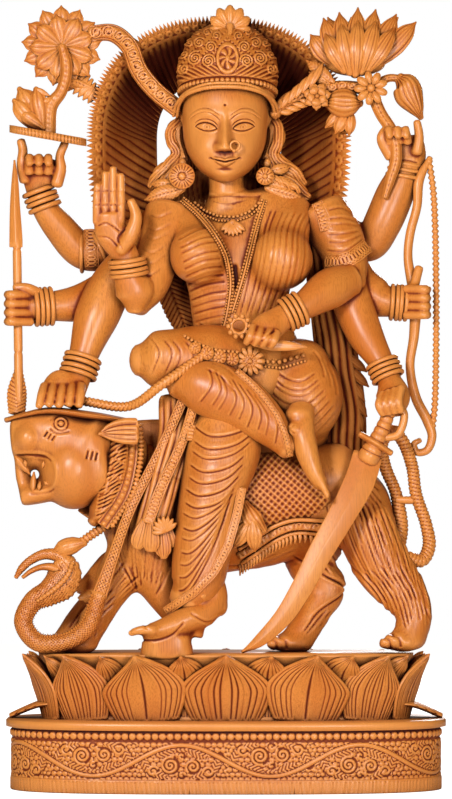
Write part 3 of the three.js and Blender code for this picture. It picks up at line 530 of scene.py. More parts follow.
# Puts shells into one mesh. blend fuses them into voxels of that many mm and softens the joins between them;
# fuse makes the final skin of small voxels. Each point keeps "cut", how far it lies below its neighbourhood
# in mm: the mean of its neighbours, taken again and again. The wood darkens what lies low with dark wax and
# painted shade, and lightens what stands high with wear and a painted highlight. The optional second
# attribute holds painted shade from 0 to 1, or below 0 a paler tone or painted light. At last edges are
# collapsed where the skin is plain, down to the keep share.
def piece(
    name, shells, fuse=None, softenings=0, relief=None, blend=None, blendings=10, keep=0.36, paintedLightAndTone=None,
):
    spots, quads, fans = join(shells)
    mesh = bpy.data.meshes.new(name)
    mesh.from_pydata((spots / 1000).tolist(), [], quads.tolist() + fans.tolist())
    item = put(name, mesh)

    def changed():
        before = item.data
        skin = bpy.data.meshes.new_from_object(item.evaluated_get(bpy.context.evaluated_depsgraph_get()))
        item.modifiers.clear()
        item.data = skin
        bpy.data.meshes.remove(before)
        skin.name = name
        return skin

    def fused(size):
        remesh = item.modifiers.new("fuse", "REMESH")
        remesh.mode = "VOXEL"
        remesh.voxel_size = size / 1000
        return changed()

    def web(mesh):
        count = len(mesh.vertices)
        starts, ends = read(mesh.edges, "vertices", 2, np.int32).T
        both, others = np.concatenate([starts, ends]), np.concatenate([ends, starts])
        degree = np.maximum(np.bincount(both, minlength=count), 1)[:, None]

        def mean(values):
            return np.stack([np.bincount(both, values[others, k], count) for k in range(3)], -1) / degree

        return read(mesh.vertices, "co", 3) * 1000, mean

    def move(mesh, spots):
        mesh.vertices.foreach_set("co", (spots / 1000).ravel())
        mesh.update()

    def soften(mesh, rounds, back):
        spots, mean = web(mesh)
        for _ in range(rounds):
            spots = spots + (mean(spots) - spots) * 0.6
            spots = spots - (mean(spots) - spots) * back
        move(mesh, spots)

    def normals():
        return read(mesh.vertex_normals, "vector", 3, np.float32).astype(float)

    def mark(name, values):
        mesh.attributes.new(name, "FLOAT", "POINT").data.foreach_set("value", values.astype(np.float32))

    if blend:
        mesh = fused(blend)
        soften(mesh, blendings, 0.3)
    if fuse:
        mesh = fused(fuse)
    if softenings:
        soften(mesh, softenings, 0.45)
    spots, mean = web(mesh)
    if relief is not None:
        across, down = seen(spots)
        s = SimpleNamespace(spot=spots, out=normals(), across=across, down=down)
        spots = spots + s.out * relief(s)[:, None]
        move(mesh, spots)
    out = normals()
    starts, ends = read(mesh.edges, "vertices", 2, np.int32).T
    edge = np.median(np.linalg.norm(spots[starts] - spots[ends], axis=1))
    level, depths = spots.copy(), []
    for radius in (1.5, 3.2):
        for _ in range(int(np.clip((radius / edge) ** 2 / 0.8, 2, 45))):
            level = level + (mean(level) - level) * 0.8
        depths.append(np.einsum("ij,ij->i", level - spots, out))
    near, far = depths
    mark("cut", near * 0.7 + far * 0.3)
    if paintedLightAndTone is not None:
        mark("paintedLightAndTone", np.clip(paintedLightAndTone(spots, out), -1, 1))
    item.modifiers.new("thin", "DECIMATE").ratio = keep
    mesh = changed()
    mesh.shade_smooth()
    mesh.materials.append(wood)
    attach(item, "root")
    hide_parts("durga_carving")
    print(f"{name}: {sum(len(p.vertices) - 2 for p in mesh.polygons)} triangles")
    return item


# Materials

# A colour written as sRGB hex, as linear values
def linear(code):
    value = np.array([int(code[i : i + 2], 16) for i in (1, 3, 5)]) / 255
    return (*np.where(value <= 0.04045, value / 12.92, ((value + 0.055) / 1.055) ** 2.4), 1.0)


# Adds one node: numbers and names in settings go to sockets or properties, links join outputs to its inputs
def add(tree, kind, settings=None, links=None):
    node = tree.nodes.new("ShaderNode" + kind)
    for key, value in (settings or {}).items():
        if isinstance(key, int) or key in node.inputs.keys():
            node.inputs[key].default_value = value
        else:
            setattr(node, key, value)
    for key, source in (links or {}).items():
        tree.links.new(source, node.inputs[key])
    return node


waxed = {
    "wornTopsAndHighlight": "#E7974A",  # worn tops, and a painted highlight
    "wood": "#C46920",
    "pale": "#DA8A3A",
    "streak": "#A95716",
    "deep": "#7B2600",  # sides of the cuts: dark wax, and painted shade
    "stainAndShade": "#380700",  # dark wax left in the cuts, and painted shade in the cuts, crevices and hollows
    "grainWidth": 0.9,  # mm, drawn a little coarse so that it shows
    "grainLength": 22,  # mm
    "cloudSize": 40,  # mm
    "crevice": 9,  # mm, reach of the ambient occlusion that paints shade into crevices
    "hollow": 38,  # mm, reach of the ambient occlusion that paints shade into the deep hollows
    "roughness": 0.34,
}


# Kadam wood, carved with gouges, sanded and waxed: an even light orange-brown with fine long pores up the
# block, paler where hands rub the tops, with a painted highlight there too, red-brown where wax and dust stay
# in the cuts, with painted shade in the cuts, crevices and deep hollows, and a soft gloss.
def makeWaxedWood(name, look):
    material = bpy.data.materials.new(name)
    material.use_nodes = True
    tree = material.node_tree
    tree.nodes.clear()
    spots = add(tree, "TexCoord").outputs["Object"]

    def noise(scale, settings):
        grid = add(tree, "Mapping", {"Scale": scale}, {"Vector": spots}).outputs[0]
        return add(tree, "TexNoise", {"Scale": 1.0, **settings}, {"Vector": grid}).outputs["Fac"]

    def own(name):
        return add(tree, "Attribute", {"attribute_name": name}).outputs["Fac"]

    # How open a spot is, by ambient occlusion within reach mm; the wood darkens closed spots as painted shade
    def openness(reach, samples):
        return add(tree, "AmbientOcclusion", {"samples": samples, "Distance": reach / 1000}).outputs["AO"]

    # from start to end as the value goes from low to high
    def ramp(value, low, high, end=1.0, start=0.0):
        return add(tree, "MapRange", {1: low, 2: high, 3: start, 4: end}, {0: value}).outputs[0]

    def larger(one, other):
        return add(tree, "Math", {"operation": "MAXIMUM"}, {0: one, 1: other}).outputs[0]

    fine, long, cloud = (1000 / look[key] for key in ("grainWidth", "grainLength", "cloudSize"))
    grain = noise((fine, fine, long), {"Detail": 3.0})
    clouds = noise((cloud, cloud, cloud * 0.3), {"Detail": 2.0, "Distortion": 0.6})
    cut, paintedLightAndTone = own("cut"), own("paintedLightAndTone")
    near, wide = openness(look["crevice"], 6), openness(look["hollow"], 5)
    colour = None
    # Layers over the wood: pale clouds and grain streaks; a paler tone or painted light from the second
    # attribute; worn tops with a painted highlight; dark wax with painted shade in the cuts; painted shade
    # from ambient occlusion in crevices and hollows; and painted shade from the second attribute
    for key, share in (
        ("pale", ramp(clouds, 0.35, 0.65)),
        ("streak", ramp(grain, 0.45, 0.72, 0.72)),
        ("wornTopsAndHighlight", ramp(paintedLightAndTone, 0.0, -1.0, 0.6)),
        ("wornTopsAndHighlight", ramp(cut, -0.03, -0.35, 0.7)),
        ("deep", ramp(cut, 0.04, 0.25, 0.9)),
        ("stainAndShade", ramp(cut, 0.2, 0.65, 0.95)),
        ("stainAndShade", ramp(near, 0.6, 0.12, 0.9)),
        ("stainAndShade", ramp(wide, 0.56, 0.14, 0.95)),
        ("stainAndShade", ramp(paintedLightAndTone, 0.0, 1.0, 0.97)),
    ):
        layer = add(
            tree, "Mix", {"data_type": "RGBA", 6: linear(look["wood"]), 7: linear(look[key])}, {0: share},
        )
        if colour:
            tree.links.new(colour, layer.inputs[6])
        colour = layer.outputs[2]
    gloss = look["roughness"]
    rough = larger(ramp(cut, -0.1, 0.35, 0.7, gloss), ramp(wide, 0.7, 0.25, 0.85, gloss))
    rough = larger(rough, ramp(paintedLightAndTone, 0.0, 0.6, 0.9, gloss))
    skin = add(tree, "BsdfPrincipled", {"IOR": 1.48}, {
        "Base Color": colour,
        "Roughness": rough,
        "Specular IOR Level": ramp(rough, 0.5, 0.9, 0.12, 0.5),
        "Normal": add(tree, "Bump", {"Strength": 0.25, "Distance": 0.0003}, {"Height": grain}).outputs[0],
    })
    add(tree, "OutputMaterial", links={"Surface": skin.outputs[0]})
    return material


wood = makeWaxedWood("waxedKadamWood", waxed)
print("wood ready")


# The same share all over a piece: above 0 darker, below 0 a paler tone
def evenly(share):
    return lambda spots, out: np.full(len(spots), share)


# Painted light on the face: its parts facing the front, below the crown's rim, are made paler
def paintedFaceLight(spots, out):
    return -smooth(-out[:, 1], 0.15, 0.8) * smooth(seen(spots)[1], 96, 104)


# Painted shade in the halo's hollow: more the deeper it lies and the nearer the crown
def paintedHaloShade(spots, out):
    across, down = seen(spots)
    deep = smooth(spots[:, 1], 5, 22)
    inward = (out[:, 0] * (226 - across) + out[:, 2] * (down - 120)) / np.hypot(across - 226, down - 120)
    high = 1 - smooth(np.hypot((across - 226) / 1.1, down - 50), 88, 175)
    return deep * (0.35 + 0.65 * high) * smooth(inward - out[:, 1], 0, 0.35)


# Base

base = {
    "width": 333, "depth": 140, "power": 2.8,  # mm, plan |x / a|^p + |y / b|^p = 1
    "top": 47.5, "rim": 6.5, "rimOut": 3.5, "band": 10, "beadRow": 8, "sink": 1.3,
    "lotusHeight": 50.5, "footInset": 30, "topInset": 20, "topDepth": 116,
    "petals": 14, "lean": 12, "petalThick": 3.8, "overlap": 1.16,
    "beadPitch": 5.5, "vinePitch": 130, "vineHeight": 1.15, "carvedTo": 35,
}


# The plan outline at even arc lengths: unit points (c, s) raised to 2 / p, resampled by length
def planOutline(halfWidth, halfDepth, count):
    angle = np.linspace(0, 2 * np.pi, 7201)
    power = 2 / base["power"]
    x = np.sign(np.cos(angle)) * np.abs(np.cos(angle)) ** power * halfWidth
    y = np.sign(np.sin(angle)) * np.abs(np.sin(angle)) ** power * halfDepth
    length = np.concatenate([[0], np.cumsum(np.hypot(np.diff(x), np.diff(y)))])
    even = np.linspace(0, length[-1], count, endpoint=False)
    return np.interp(even, length, x), np.interp(even, length, y), even, length[-1]


# Distance in mm to a spiral that winds in from radius at angle start, turn by turn
def spiral(x, y, radius, pitch, start, hand=1):
    away = np.hypot(x, y)
    angle = np.mod(hand * np.arctan2(y, x) - start, 2 * np.pi) / (2 * np.pi)
    arm = (radius - away) / pitch - angle
    off = np.abs(arm - np.round(arm)) * pitch
    return np.where((away < radius + pitch * 0.4) & (arm > -0.5), off, 99.0)


# A feathered leaf seen flat: an almond round its middle, barbs slanting from its rib, in mm
def frond(x, y, middleX, middleY, lean, length, half):
    c, s = np.cos(np.radians(lean)), np.sin(np.radians(lean))
    along, off = (x - middleX) * c + (y - middleY) * s, np.abs((y - middleY) * c - (x - middleX) * s)
    room = half * dome(along / (length / 2)) ** 0.7
    barbs = 0.6 + 0.4 * np.cos(2 * np.pi * (along - off * 0.9) / 2.9)
    return np.where(off < room, barbs * np.clip((room - off) / 0.5, 0, 1), 0)


# Carved vine round the plinth, as a share of its height over the ground. The stem waves between the borders;
# each half wave holds spirals, feathered leaves and fruit, and small berries in a lattice fill what is left.
def vine(run, height, tall):
    half = base["vinePitch"] / 2
    bay = np.floor(run / half)
    x = run - (bay + 0.5) * half
    y = (height - tall / 2) * np.where(np.mod(bay, 2) > 0, -1.0, 1.0)
    reach = tall / 2 - 2.4
    stemAt, slope = reach * np.cos(np.pi * x / half), -reach * np.pi / half * np.sin(np.pi * x / half)
    stem = np.abs(y - stemAt) / np.sqrt(1 + slope**2)
    rise, room = np.zeros_like(x), np.full_like(x, 9.0)
    for cx, cy, radius, hand, start in (
        (-8, -3.5, 6.6, 1, 1.2), (8.5, -4.5, 5.4, -1, 2.2), (-20.5, -8, 4.2, 1, 0.4),
        (20, -8.5, 4.2, -1, 3.0),
        (0.5, -10.8, 2.6, 1, 0), (0.5, 3.6, 2.6, -1, 1), (28, 3.5, 2.8, 1, 2), (-29, 1.5, 2.6, -1, 2),
    ):
        rise = np.maximum(rise, rounded(spiral(x - cx, y - cy, radius, 2.9, start, hand), 1.2))
        room = np.minimum(room, np.hypot(x - cx, y - cy) - radius)
    for cx, cy, lean, length, wide in (
        (-12, 6.5, 24, 18, 3.9), (11.5, 6.0, -26, 18, 3.9), (-15.5, -11, -14, 14, 3.0),
        (14.5, -11, 16, 14, 3.0), (0.5, 8.6, 0, 11, 2.4),
        (25.5, -3, 66, 14, 3.4), (-26, -3, -62, 14, 3.4),
    ):
        leafy = frond(x, y, cx, cy, lean, length, wide)
        rise = np.maximum(rise, 0.95 * leafy)
        room = np.where(leafy > 0, -1, room)
    for dx, dy in ((0, 0), (3.2, 0.4), (-3.2, 0.4), (1.6, 3.0), (-1.6, 3.0), (0, 5.8)):
        rise = np.maximum(rise, rounded(np.hypot(np.abs(x) - 30.5 - dx, y + 10.8 - dy), 1.7))
        room = np.minimum(room, np.hypot(np.abs(x) - 30.5 - dx, y + 10.8 - dy) - 1.8)
    row = np.round(height / 3.7)
    berry = np.hypot(np.mod(run + row * 2.2, 4.4) - 2.2, (height - row * 3.7) * 1.1)
    rise = np.maximum(
        rise, (0.8 * rounded(berry, 2.2) + 0.15) * smooth(room, 0.2, 0.7) * smooth(stem, 1.9, 2.3),
    )
    return np.where(stem < 2.1, rounded(stem, 1.75), rise)


def plinth():
    tall, rimTop = base["top"], base["top"] + base["rim"]
    reliefLow, reliefHigh = base["band"] + base["sink"], base["top"] - base["beadRow"]
    x, y, even, girth = planOutline(base["width"] / 2, base["depth"] / 2, 1180)
    outX, outY = np.gradient(y), -np.gradient(x)
    scale = np.hypot(outX, outY)
    outX, outY = outX / scale, outY / scale
    bays = round(girth / base["vinePitch"])
    around = even / girth * bays * base["vinePitch"]
    levels = np.concatenate([
        [0, 0.01, 0.7], np.linspace(1.4, base["band"] - 0.3, 8), [base["band"]],
        np.linspace(reliefLow - 0.8, reliefHigh, 42), np.linspace(reliefHigh + 0.9, tall - 0.3, 11),
        [tall, tall + 0.5, tall + 1.0], np.linspace(tall + 2, rimTop - 1, 4), [rimTop - 0.3, rimTop, rimTop],
    ])
    ground = np.interp(
        levels,
        [0, base["band"], reliefLow, reliefHigh, reliefHigh + 0.7, tall, tall + 1, rimTop - 1, rimTop],
        [0, 0, -base["sink"], -base["sink"], -1.2, -1.2, base["rimOut"], base["rimOut"], base["rimOut"] - 1],
    )
    along, level = np.meshgrid(around, levels)
    push = np.repeat(ground[:, None], len(x), 1)
    inside = (level > reliefLow - 0.5) & (level < reliefHigh)
    carved = 1 - smooth(y, base["carvedTo"] - 2, base["carvedTo"])[None]  # the back is left plain
    push += np.where(
        inside, carved * base["vineHeight"] * vine(along, level - reliefLow, reliefHigh - reliefLow), 0,
    )
    beadHigh = (reliefHigh + tall) / 2 + 0.2
    pearl = np.hypot(
        (along / base["beadPitch"] - np.round(along / base["beadPitch"])) * base["beadPitch"],
        level - beadHigh,
    )
    pearls = dome(pearl / 2.75) ** 0.5 * 1.9 - 0.5 * swell(pearl, 0.8)
    push += np.where((level > reliefHigh) & (level < tall), pearls, 0)
    chisel = np.sin(along * 2.1 + 2 * np.sin(along * 0.21)) * (
        0.35 + 0.65 * np.sin(along * 0.37 + 1.3 * np.sin(along * 0.05)) ** 2
    )
    notch = (level > 0.5) & (level < base["band"] - 0.6)
    push += np.where(notch, 0.36 * chisel * carved, 0)
    loops = np.stack([x[None] + outX[None] * push, y[None] + outY[None] * push, level], -1)
    inset = 1 - 1.2 / (base["depth"] / 2)
    loops[0, :, :2] *= inset
    loops[-1, :, :2] *= inset
    return shell(loops, poles=[[0, 0, 0], [0, 0, rimTop]])


# Where the lotus wall stands: foot to top by share^1.6, at a turn of the plan
def lotusWall(turn, share, out):
    foot = np.array([base["width"], base["depth"]]) / 2 - base["footInset"]
    top = np.array([base["width"] / 2 - base["topInset"], base["topDepth"] / 2])
    halfWidth, halfDepth = (mix(foot[k], top[k], share**1.6) for k in range(2))
    x = np.cos(turn)
    y = np.sign(np.sin(turn)) * (1 - np.abs(x) ** base["power"]) ** (1 / base["power"])
    z = base["top"] + base["rim"] + base["lotusHeight"] * share
    return np.stack([x * (halfWidth + out), y * (halfDepth + out), z + 0 * x], -1)


# A petal lies against the wall: its half width and its reach follow a profile, its grooves run up to the tip
def petal(turn, halfWidth, profile, grooves):
    share, wide, out = np.array(profile).T
    places = lotusWall(turn, share, out)
    rows = np.column_stack([places, wide * halfWidth, np.minimum(base["petalThick"], wide * halfWidth)])
    curve, even = run(rows, 1.0, asSteps=False)
    side = unit(lotusWall(turn + 0.06, 0.5, 0) - lotusWall(turn - 0.06, 0.5, 0))
    facing = np.cross(side, [0, 0, 1])

    def flutes(s):
        thin = np.clip(0.5 / np.maximum(s.wide, 2) * grooves * 0.5, 0.06, 0.3)
        lines = groove(s.x / 0.86 * grooves * 0.5, 1, 0.85, thin) * (np.abs(s.x) < 0.84)
        rimLine = -0.9 * swell((np.abs(s.x) - 0.89) * s.wide, 0.7)
        return (lines + rimLine) * smooth(s.share, 0.0, 0.06) * (1 - smooth(s.share, 0.93, 0.99))

    sides = int(np.clip(4.2 * halfWidth / 0.9, 48, 150)) // 2 * 2
    return loft(curve, even, sides, tip=0.2, edge=2.2, facing=facing, relief=flutes)


def lotus():
    rimTop, high = base["top"] + base["rim"], base["lotusHeight"]
    rows = []
    turn = fullTurn(400)
    for share, out in (
        (-0.03, 0), (-0.03, 1.5), (0.03, 1.5), (0.06, 0.5), (0.3, -3), (0.7, -7), (0.96, -1), (1, -1.5),
    ):
        rows.append(lotusWall(turn, max(share, 0), out) + [0, 0, min(share, 0) * high])
    core = shell(np.array(rows), poles=[[0, 0, rimTop - 0.03 * high], [0, 0, rimTop + high]])
    large = np.array([
        [0, 0.77, 0], [0.15, 0.87, 1], [0.33, 0.97, 1.8], [0.5, 1, 2.8], [0.68, 0.78, 4.6], [0.84, 0.42, 7.5],
        [0.95, 0.15, 10.5], [0.995, 0.03, base["lean"]],
    ])
    small = [[0, 0.5, -3], [0.3, 0.8, -4], [0.55, 1, -2.5], [0.75, 0.84, 0], [0.88, 0.5, 4], [0.98, 0.05, 8]]
    apart = 2 * np.pi / base["petals"]
    shells = [core]
    for k in range(base["petals"]):
        turn = (k + 0.001) * apart - np.pi / 2
        room = np.linalg.norm(lotusWall(turn + apart, 0.5, 0) - lotusWall(turn - apart, 0.5, 0)) / 4
        shells.append(petal(turn, room * base["overlap"], large + [0, 0, 1.6 * (k % 2)], 13))
        shells.append(petal(turn + apart / 2, room * 0.66, small, 8))
    return shells


# Low leaves from the lotus to each end of the plinth, with an eye-shaped gap below
def endLeaves():
    crest = base["top"] + base["rim"] + 9
    foot = base["width"] / 2 - base["footInset"]
    leaves = []
    for side in (-1, 1):
        rows = [
            [side * (foot - 6), 0, crest + 3, 3.2, 26], [side * (foot + 8), 0, crest + 1.5, 2.7, 22],
            [side * (foot + 19), 0, crest - 2.5, 2.4, 15], [side * base["width"] / 2, 0, crest - 7.5, 2.3, 8],
        ]
        leaves.append(limb(rows, 1.2, lambda s: groove(s.deep * s.y, 5, 0.8, 0.7), asSteps=False))
    return leaves


piece("plinth", [plinth(), endLeaves()], keep=0.44, paintedLightAndTone=evenly(-0.5))
piece("lotus", lotus(), keep=0.225, paintedLightAndTone=evenly(-0.35))


# Lion

def lion():
    rump = between(
        [[322, 470], [330, 515], [348, 560], [384, 604]], [[390, 492], [412, 540], [424, 590], [436, 630]],
        27, ragged=0.3,
    )
    rump += between([[330, 480], [340, 530], [366, 584]], [[392, 500], [414, 550], [432, 610]], 12, 0.6, 0.5)
    near = between([[345, 560], [376, 592], [392, 628]], [[416, 560], [430, 596], [434, 634]], 12, ragged=0.3)
    far = between(
        [[288, 552], [322, 574], [346, 590], [318, 612], [300, 636]],
        [[336, 548], [352, 576], [350, 594], [334, 616], [316, 640]], 14, ragged=0.3,
    )
    chest = between(
        [[116, 520], [117, 552], [136, 590]], [[190, 508], [174, 560], [153, 606]], 25, ragged=0.35,
    )
    neck = between([[130, 440], [134, 475], [118, 512]], [[176, 428], [164, 470], [142, 512]], 13, ragged=0.3)
    front = between([[126, 560], [106, 592], [84, 640]], [[150, 576], [118, 606], [102, 640]], 8, ragged=0.3)
    other = between([[118, 570], [86, 606], [62, 640]], [[132, 590], [96, 620], [80, 640]], 5, ragged=0.3)
    belly = between([[190, 560], [240, 566], [300, 546]], [[190, 590], [240, 580], [300, 558]], 5, ragged=0.3)
    back = between([[350, 462], [366, 476], [388, 498]], [[340, 478], [352, 500], [366, 540]], 8, ragged=0.3)
    toes = [
        [[across - 20, down - 6], [across - 12, down - 2], [across - 10, down + 8]]
        for across, down in ((412, 640), (402, 642), (298, 642), (288, 643))
    ]
    hair = layered(
        incised(rump, 0.8, 0.75), incised(near, 0.65, 0.8), incised(far, 0.9, 0.9), incised(chest, 0.8, 0.75),
        incised(neck, 0.8, 0.8), incised(front + other, 0.8, 0.85), incised(belly, 0.7, 1.0),
        incised(back, 0.8, 1.0), incised(toes, 1.2, 1.2, 0.2),
    )
    body = [
        limb([
            [140, 478, -4, 40, 34], [178, 512, 2, 58, 44], [232, 512, 8, 60, 46], [300, 504, 12, 54, 46],
            [353, 508, 10, 42, 42], [378, 534, 6, 24, 32],
        ], 3),
        limb([
            [116, 456, -12, 34, 34], [138, 496, -4, 44, 44], [151, 548, -4, 37, 40], [160, 580, -8, 24, 26],
            [170, 606, -10, 15, 17], [176, 624, -10, 8, 10],
        ], 3),
    ]
    legs = [
        [
            [364, 524, -4, 31, 30], [385, 567, -8, 29, 26], [404, 592, -12, 25, 20], [415, 613, -14, 19, 17],
            [410, 640, -18, 17, 16],
        ],
        [
            [312, 544, 26, 34, 24], [310, 566, 26, 22, 20], [329, 588, 26, 20, 16], [315, 614, 20, 16, 14],
            [297, 642, 14, 17, 14],
        ],
        [[134, 552, -8, 26, 24], [108, 598, -8, 17, 17], [94, 624, -10, 15, 15], [84, 643, -14, 14, 14]],
        [[134, 556, 22, 22, 20], [104, 592, 24, 15, 16], [78, 620, 22, 12, 14], [64, 643, 16, 12, 14]],
    ]
    paws = []
    for across, down, depth, size in (
        [404, 642, -20, 22], [292, 643, 12, 22], [80, 645, -16, 20], [62, 645, 16, 18],
    ):
        paws.append(egg([across, down, depth], [size, size * 0.75, 10], 3))
        for toe in (-1, 0, 1):
            spread = depth + toe * 9
            paws.append(
                limb([
                    [across - size * 0.3, down - 2, spread, 7], [across - size * 0.8, down, spread, 6.8],
                    [across - size, down + 3, spread, 5.5],
                ], 2)
            )
    lower = [
        limb([[112, 560, 10, 12], [96, 578, 2, 11], [80, 590, -8, 7]], 2),
        leaf([96, 592, -14], [70, 602, -16], 6),
    ]
    return piece(
        "lionBody", [body, [limb(joints, 2.5) for joints in legs], paws, lower], blend=3.2, blendings=5,
        fuse=1.15, softenings=2, keep=0.38, relief=hair,
    )


lionLook = {"middle": -26, "eye": [62, 423]}  # mm; across and down


# The head is seen from its side: both sides are carved alike
def lionHead():
    middle = lionLook["middle"]
    skull = [
        limb([
            [106, 456, middle, 38, 30], [94, 457, middle, 43, 33], [80, 452, middle, 40, 34],
            [68, 444, middle, 32, 31], [56, 437, middle, 27, 28], [42, 435, middle, 24, 25],
            [26, 437, middle, 22, 21], [14, 438, middle, 19.5, 17],
        ], 2, edge=2.7, tip=0.15),
        egg([75, 469, middle], [34, 39, 40], 2), egg([104, 440, middle], [14, 26, 24], 2),
        egg([30, 438, middle], [17, 30, 18], 2),
        limb([
            [68, 486, middle, 13, 24], [54, 490, middle, 10.5, 22], [40, 494, middle, 9.5, 19],
            [23, 497, middle, 9, 15],
        ], 2, edge=2.7, tip=0.2),
        limb([[20, 458, middle, 5, 9], [22, 476, middle, 5.5, 8], [25, 492, middle, 5, 9]], 1.5),
        limb([[24, 461, middle, 6, 9], [50, 461, middle, 6.5, 18]], 1.5),
        limb([[26, 488, middle, 6, 9], [50, 486, middle, 7, 18]], 1.5),
        limb([[50, 458, middle, 7, 22], [54, 472, middle, 9, 24], [52, 488, middle, 7, 22]], 1.5),
        hoop([37, 474, middle], 9.5, 4.4),
    ]
    eyeAcross, eyeDown = lionLook["eye"]

    def eye(s):
        away = np.hypot(s.across - eyeAcross, s.down - eyeDown) * step
        rings = 1.3 * rounded(away, 2.2) - 0.9 * swell(away - 2.7, 0.7) + 0.7 * rounded(away - 4.0, 1.0)
        return (rings - 0.8 * swell(away - 5.6, 0.8)) * smooth(np.abs(s.out[:, 1]), 0.3, 0.6)

    nicks = between([[45, 437], [49, 431]], [[52, 441], [56, 435]], 3, 0)
    nicks += between([[87.5, 459], [89.5, 450]], [[96.5, 461], [98.5, 452]], 3, 0)
    curves = [
        [[14, 456], [30, 455], [46, 456], [54, 462]], [[56, 488], [48, 492], [30, 494]],
        [[74, 411], [62, 413], [50, 421]], [[50, 428], [58, 433], [72, 431]],
    ]
    lips = [[[14, 453], [30, 452], [46, 454], [56, 464], [57, 480], [50, 490], [30, 492]]]
    carving = layered(
        eye, incised(nicks, 1.2, 0.85, 0.2), incised(curves, 0.6, 1.0, 0.4), incised(lips, -0.8, 1.6, 0),
    )
    piece(
        "lionHead", skull, blend=2.4, blendings=4, fuse=1.0, softenings=3, relief=carving,
        paintedLightAndTone=evenly(-0.4),
    )


def lionDetails():
    middle = lionLook["middle"]
    brow = limb([
        [7, 420, middle, 2.6, 12], [28, 415, middle, 3.4, 22], [50, 411.5, middle, 4.2, 29],
        [92, 416, middle, 4.6, 34], [131, 422, middle + 8, 3.4, 26],
    ], 1.0, lambda s: groove(s.x - 0.2, 5, 0.5, 0.1))
    ears, teeth = [], []
    row = [
        [45, 462, 44, 467], [49, 465, 46, 469], [51.5, 470, 47, 472], [52.5, 475, 48, 476],
        [51.5, 480, 47.5, 479.5], [48.5, 484, 45.5, 481.5], [40, 489, 41, 482], [26, 461, 27, 466],
    ]

    def inner(s):
        hollow = (groove(s.x - 0.1, 0.42, 0.7, 0.07) - 1.3) * (1 - smooth(np.abs(s.x), 0.62, 0.8))
        return hollow * (1 - smooth(s.share, 0.8, 0.95))

    for side in (-1, 1):
        depth = middle + side * 28
        ears.append(
            limb([
                [137, 431, depth + 2, 13, 5], [124, 431, depth, 12.5, 5], [110, 432, depth, 8, 4.5],
                [100, 434, depth, 1.6, 3],
            ], 0.8, inner)
        )
        for across, down, acrossTo, downTo in row:
            root, tip = [across, down, middle + side * 17], [acrossTo, downTo, middle + side * 16]
            teeth.append(leaf(root, tip, 2.1, 2, 0, 0.35, 0, 0.7))
        for root, tip, width in (([17, 457, 12], [31, 474, 12], 4), ([34, 491, 13], [35, 472, 12], 3.2)):
            ends = [[across, down, middle + side * off] for across, down, off in (root, tip)]
            teeth.append(leaf(*ends, width, 3, 0, 0.3, 0, 0.7))
    wisps = between([[131, 438], [118, 443], [105, 452]], [[120, 506], [108, 512], [96, 516]], 19)
    wisps += between([[128, 444], [120, 450], [113, 458]], [[116, 512], [108, 518], [100, 524]], 15)
    mane = limb([
        [120, 428, -18, 12, 30], [119, 470, -20, 17, 36], [101, 512, -22, 12, 30], [94, 522, -22, 6, 20],
    ], 0.9, incised(wisps, 1.5, 0.85, 0.5))
    # the collar: a band between two cords, studded, and a chain beside it
    route = [
        [131, 423, -8, 6, 34], [133, 446, -9, 7, 39], [131, 468, -10, 7.5, 42], [124, 494, -12, 7, 42],
        [104, 525, -18, 5, 30],
    ]

    def studs(s):
        stud = np.hypot((s.run / 5.2 - np.round(s.run / 5.2)) * 5.2, s.x * s.wide) / 1.9
        rims = groove(np.abs(s.x) - 0.62, 9, 0.9, 0.13)
        return 1.3 * np.sqrt(dome(stud)) + rims - 0.6 * (np.abs(s.x) < 0.5)

    collar = limb([[a, d, z, w * 0.62, k] for a, d, z, w, k in route], facing=[1, 0, 0.3])
    straps = []
    for side in (-1, 1):
        line = [[a, d, z + side * k * step * 0.97] for a, d, z, w, k in route]
        straps.append(limb([[*spot, 6.5, 2.2] for spot in line], 0.7, studs))
        chain = [[a + 9, d + 1, z - 1] for a, d, z in line]
        straps.append(limb([[*spot, 2.6, 2.6] for spot in chain], 0.8, ripples(0.8, 1.9)))
    return [brow, ears, teeth, mane, collar, straps]


# A hoop seen from the front: a round cord carried round a circle
def hoop(middle, radius, cord, fine=1.0):
    turn = fullTurn(max(20, int(2 * np.pi * radius * step / fine)))
    across, down, depth = middle
    steps = np.stack([
        across + radius * np.cos(turn), down + radius * np.sin(turn), np.full(len(turn), depth),
    ], -1)
    curve = np.column_stack([place(steps), np.full((len(turn), 2), cord * step)])
    return loft(curve, turn * radius * step, 8, ring=True)


def lionTail():
    joints = [
        [397, 548, 4, 9], [401, 526, 8, 8], [397, 494, 6, 6], [386, 466, 0, 6], [383, 444, -8, 6],
        [392, 430, -10, 6], [403, 440, -8, 6], [413, 466, 0, 6], [417, 494, 2, 6], [427, 524, 2, 6],
        [430, 546, 0, 6.5], [423, 560, -4, 6.5], [408, 558, -8, 7],
    ]
    tail = limb(joints, 0.9, lambda s: groove(s.run + 1.5 * s.x, 3.1, 0.8, 0.5) + 0.3)
    return [tail, limb([[398, 500, 4, 4], [420, 500, 2, 4]], 1.3)]


# Snake, bell and ropes on the lion's chest

# Crossed cuts round a cord or over a band, pitch apart
def scales(pitch=2.6, depth=0.6, width=0.45, comb=0.0):
    def carve(s):
        around = s.turn * s.wide
        cross = groove(s.run + around, pitch, depth, width) + groove(s.run - around, pitch, depth, width)
        return cross + comb * np.abs(np.mod(s.run / 2.6, 1) - 0.5) * 2 * smooth(s.x, 0.8, 0.95)

    return carve


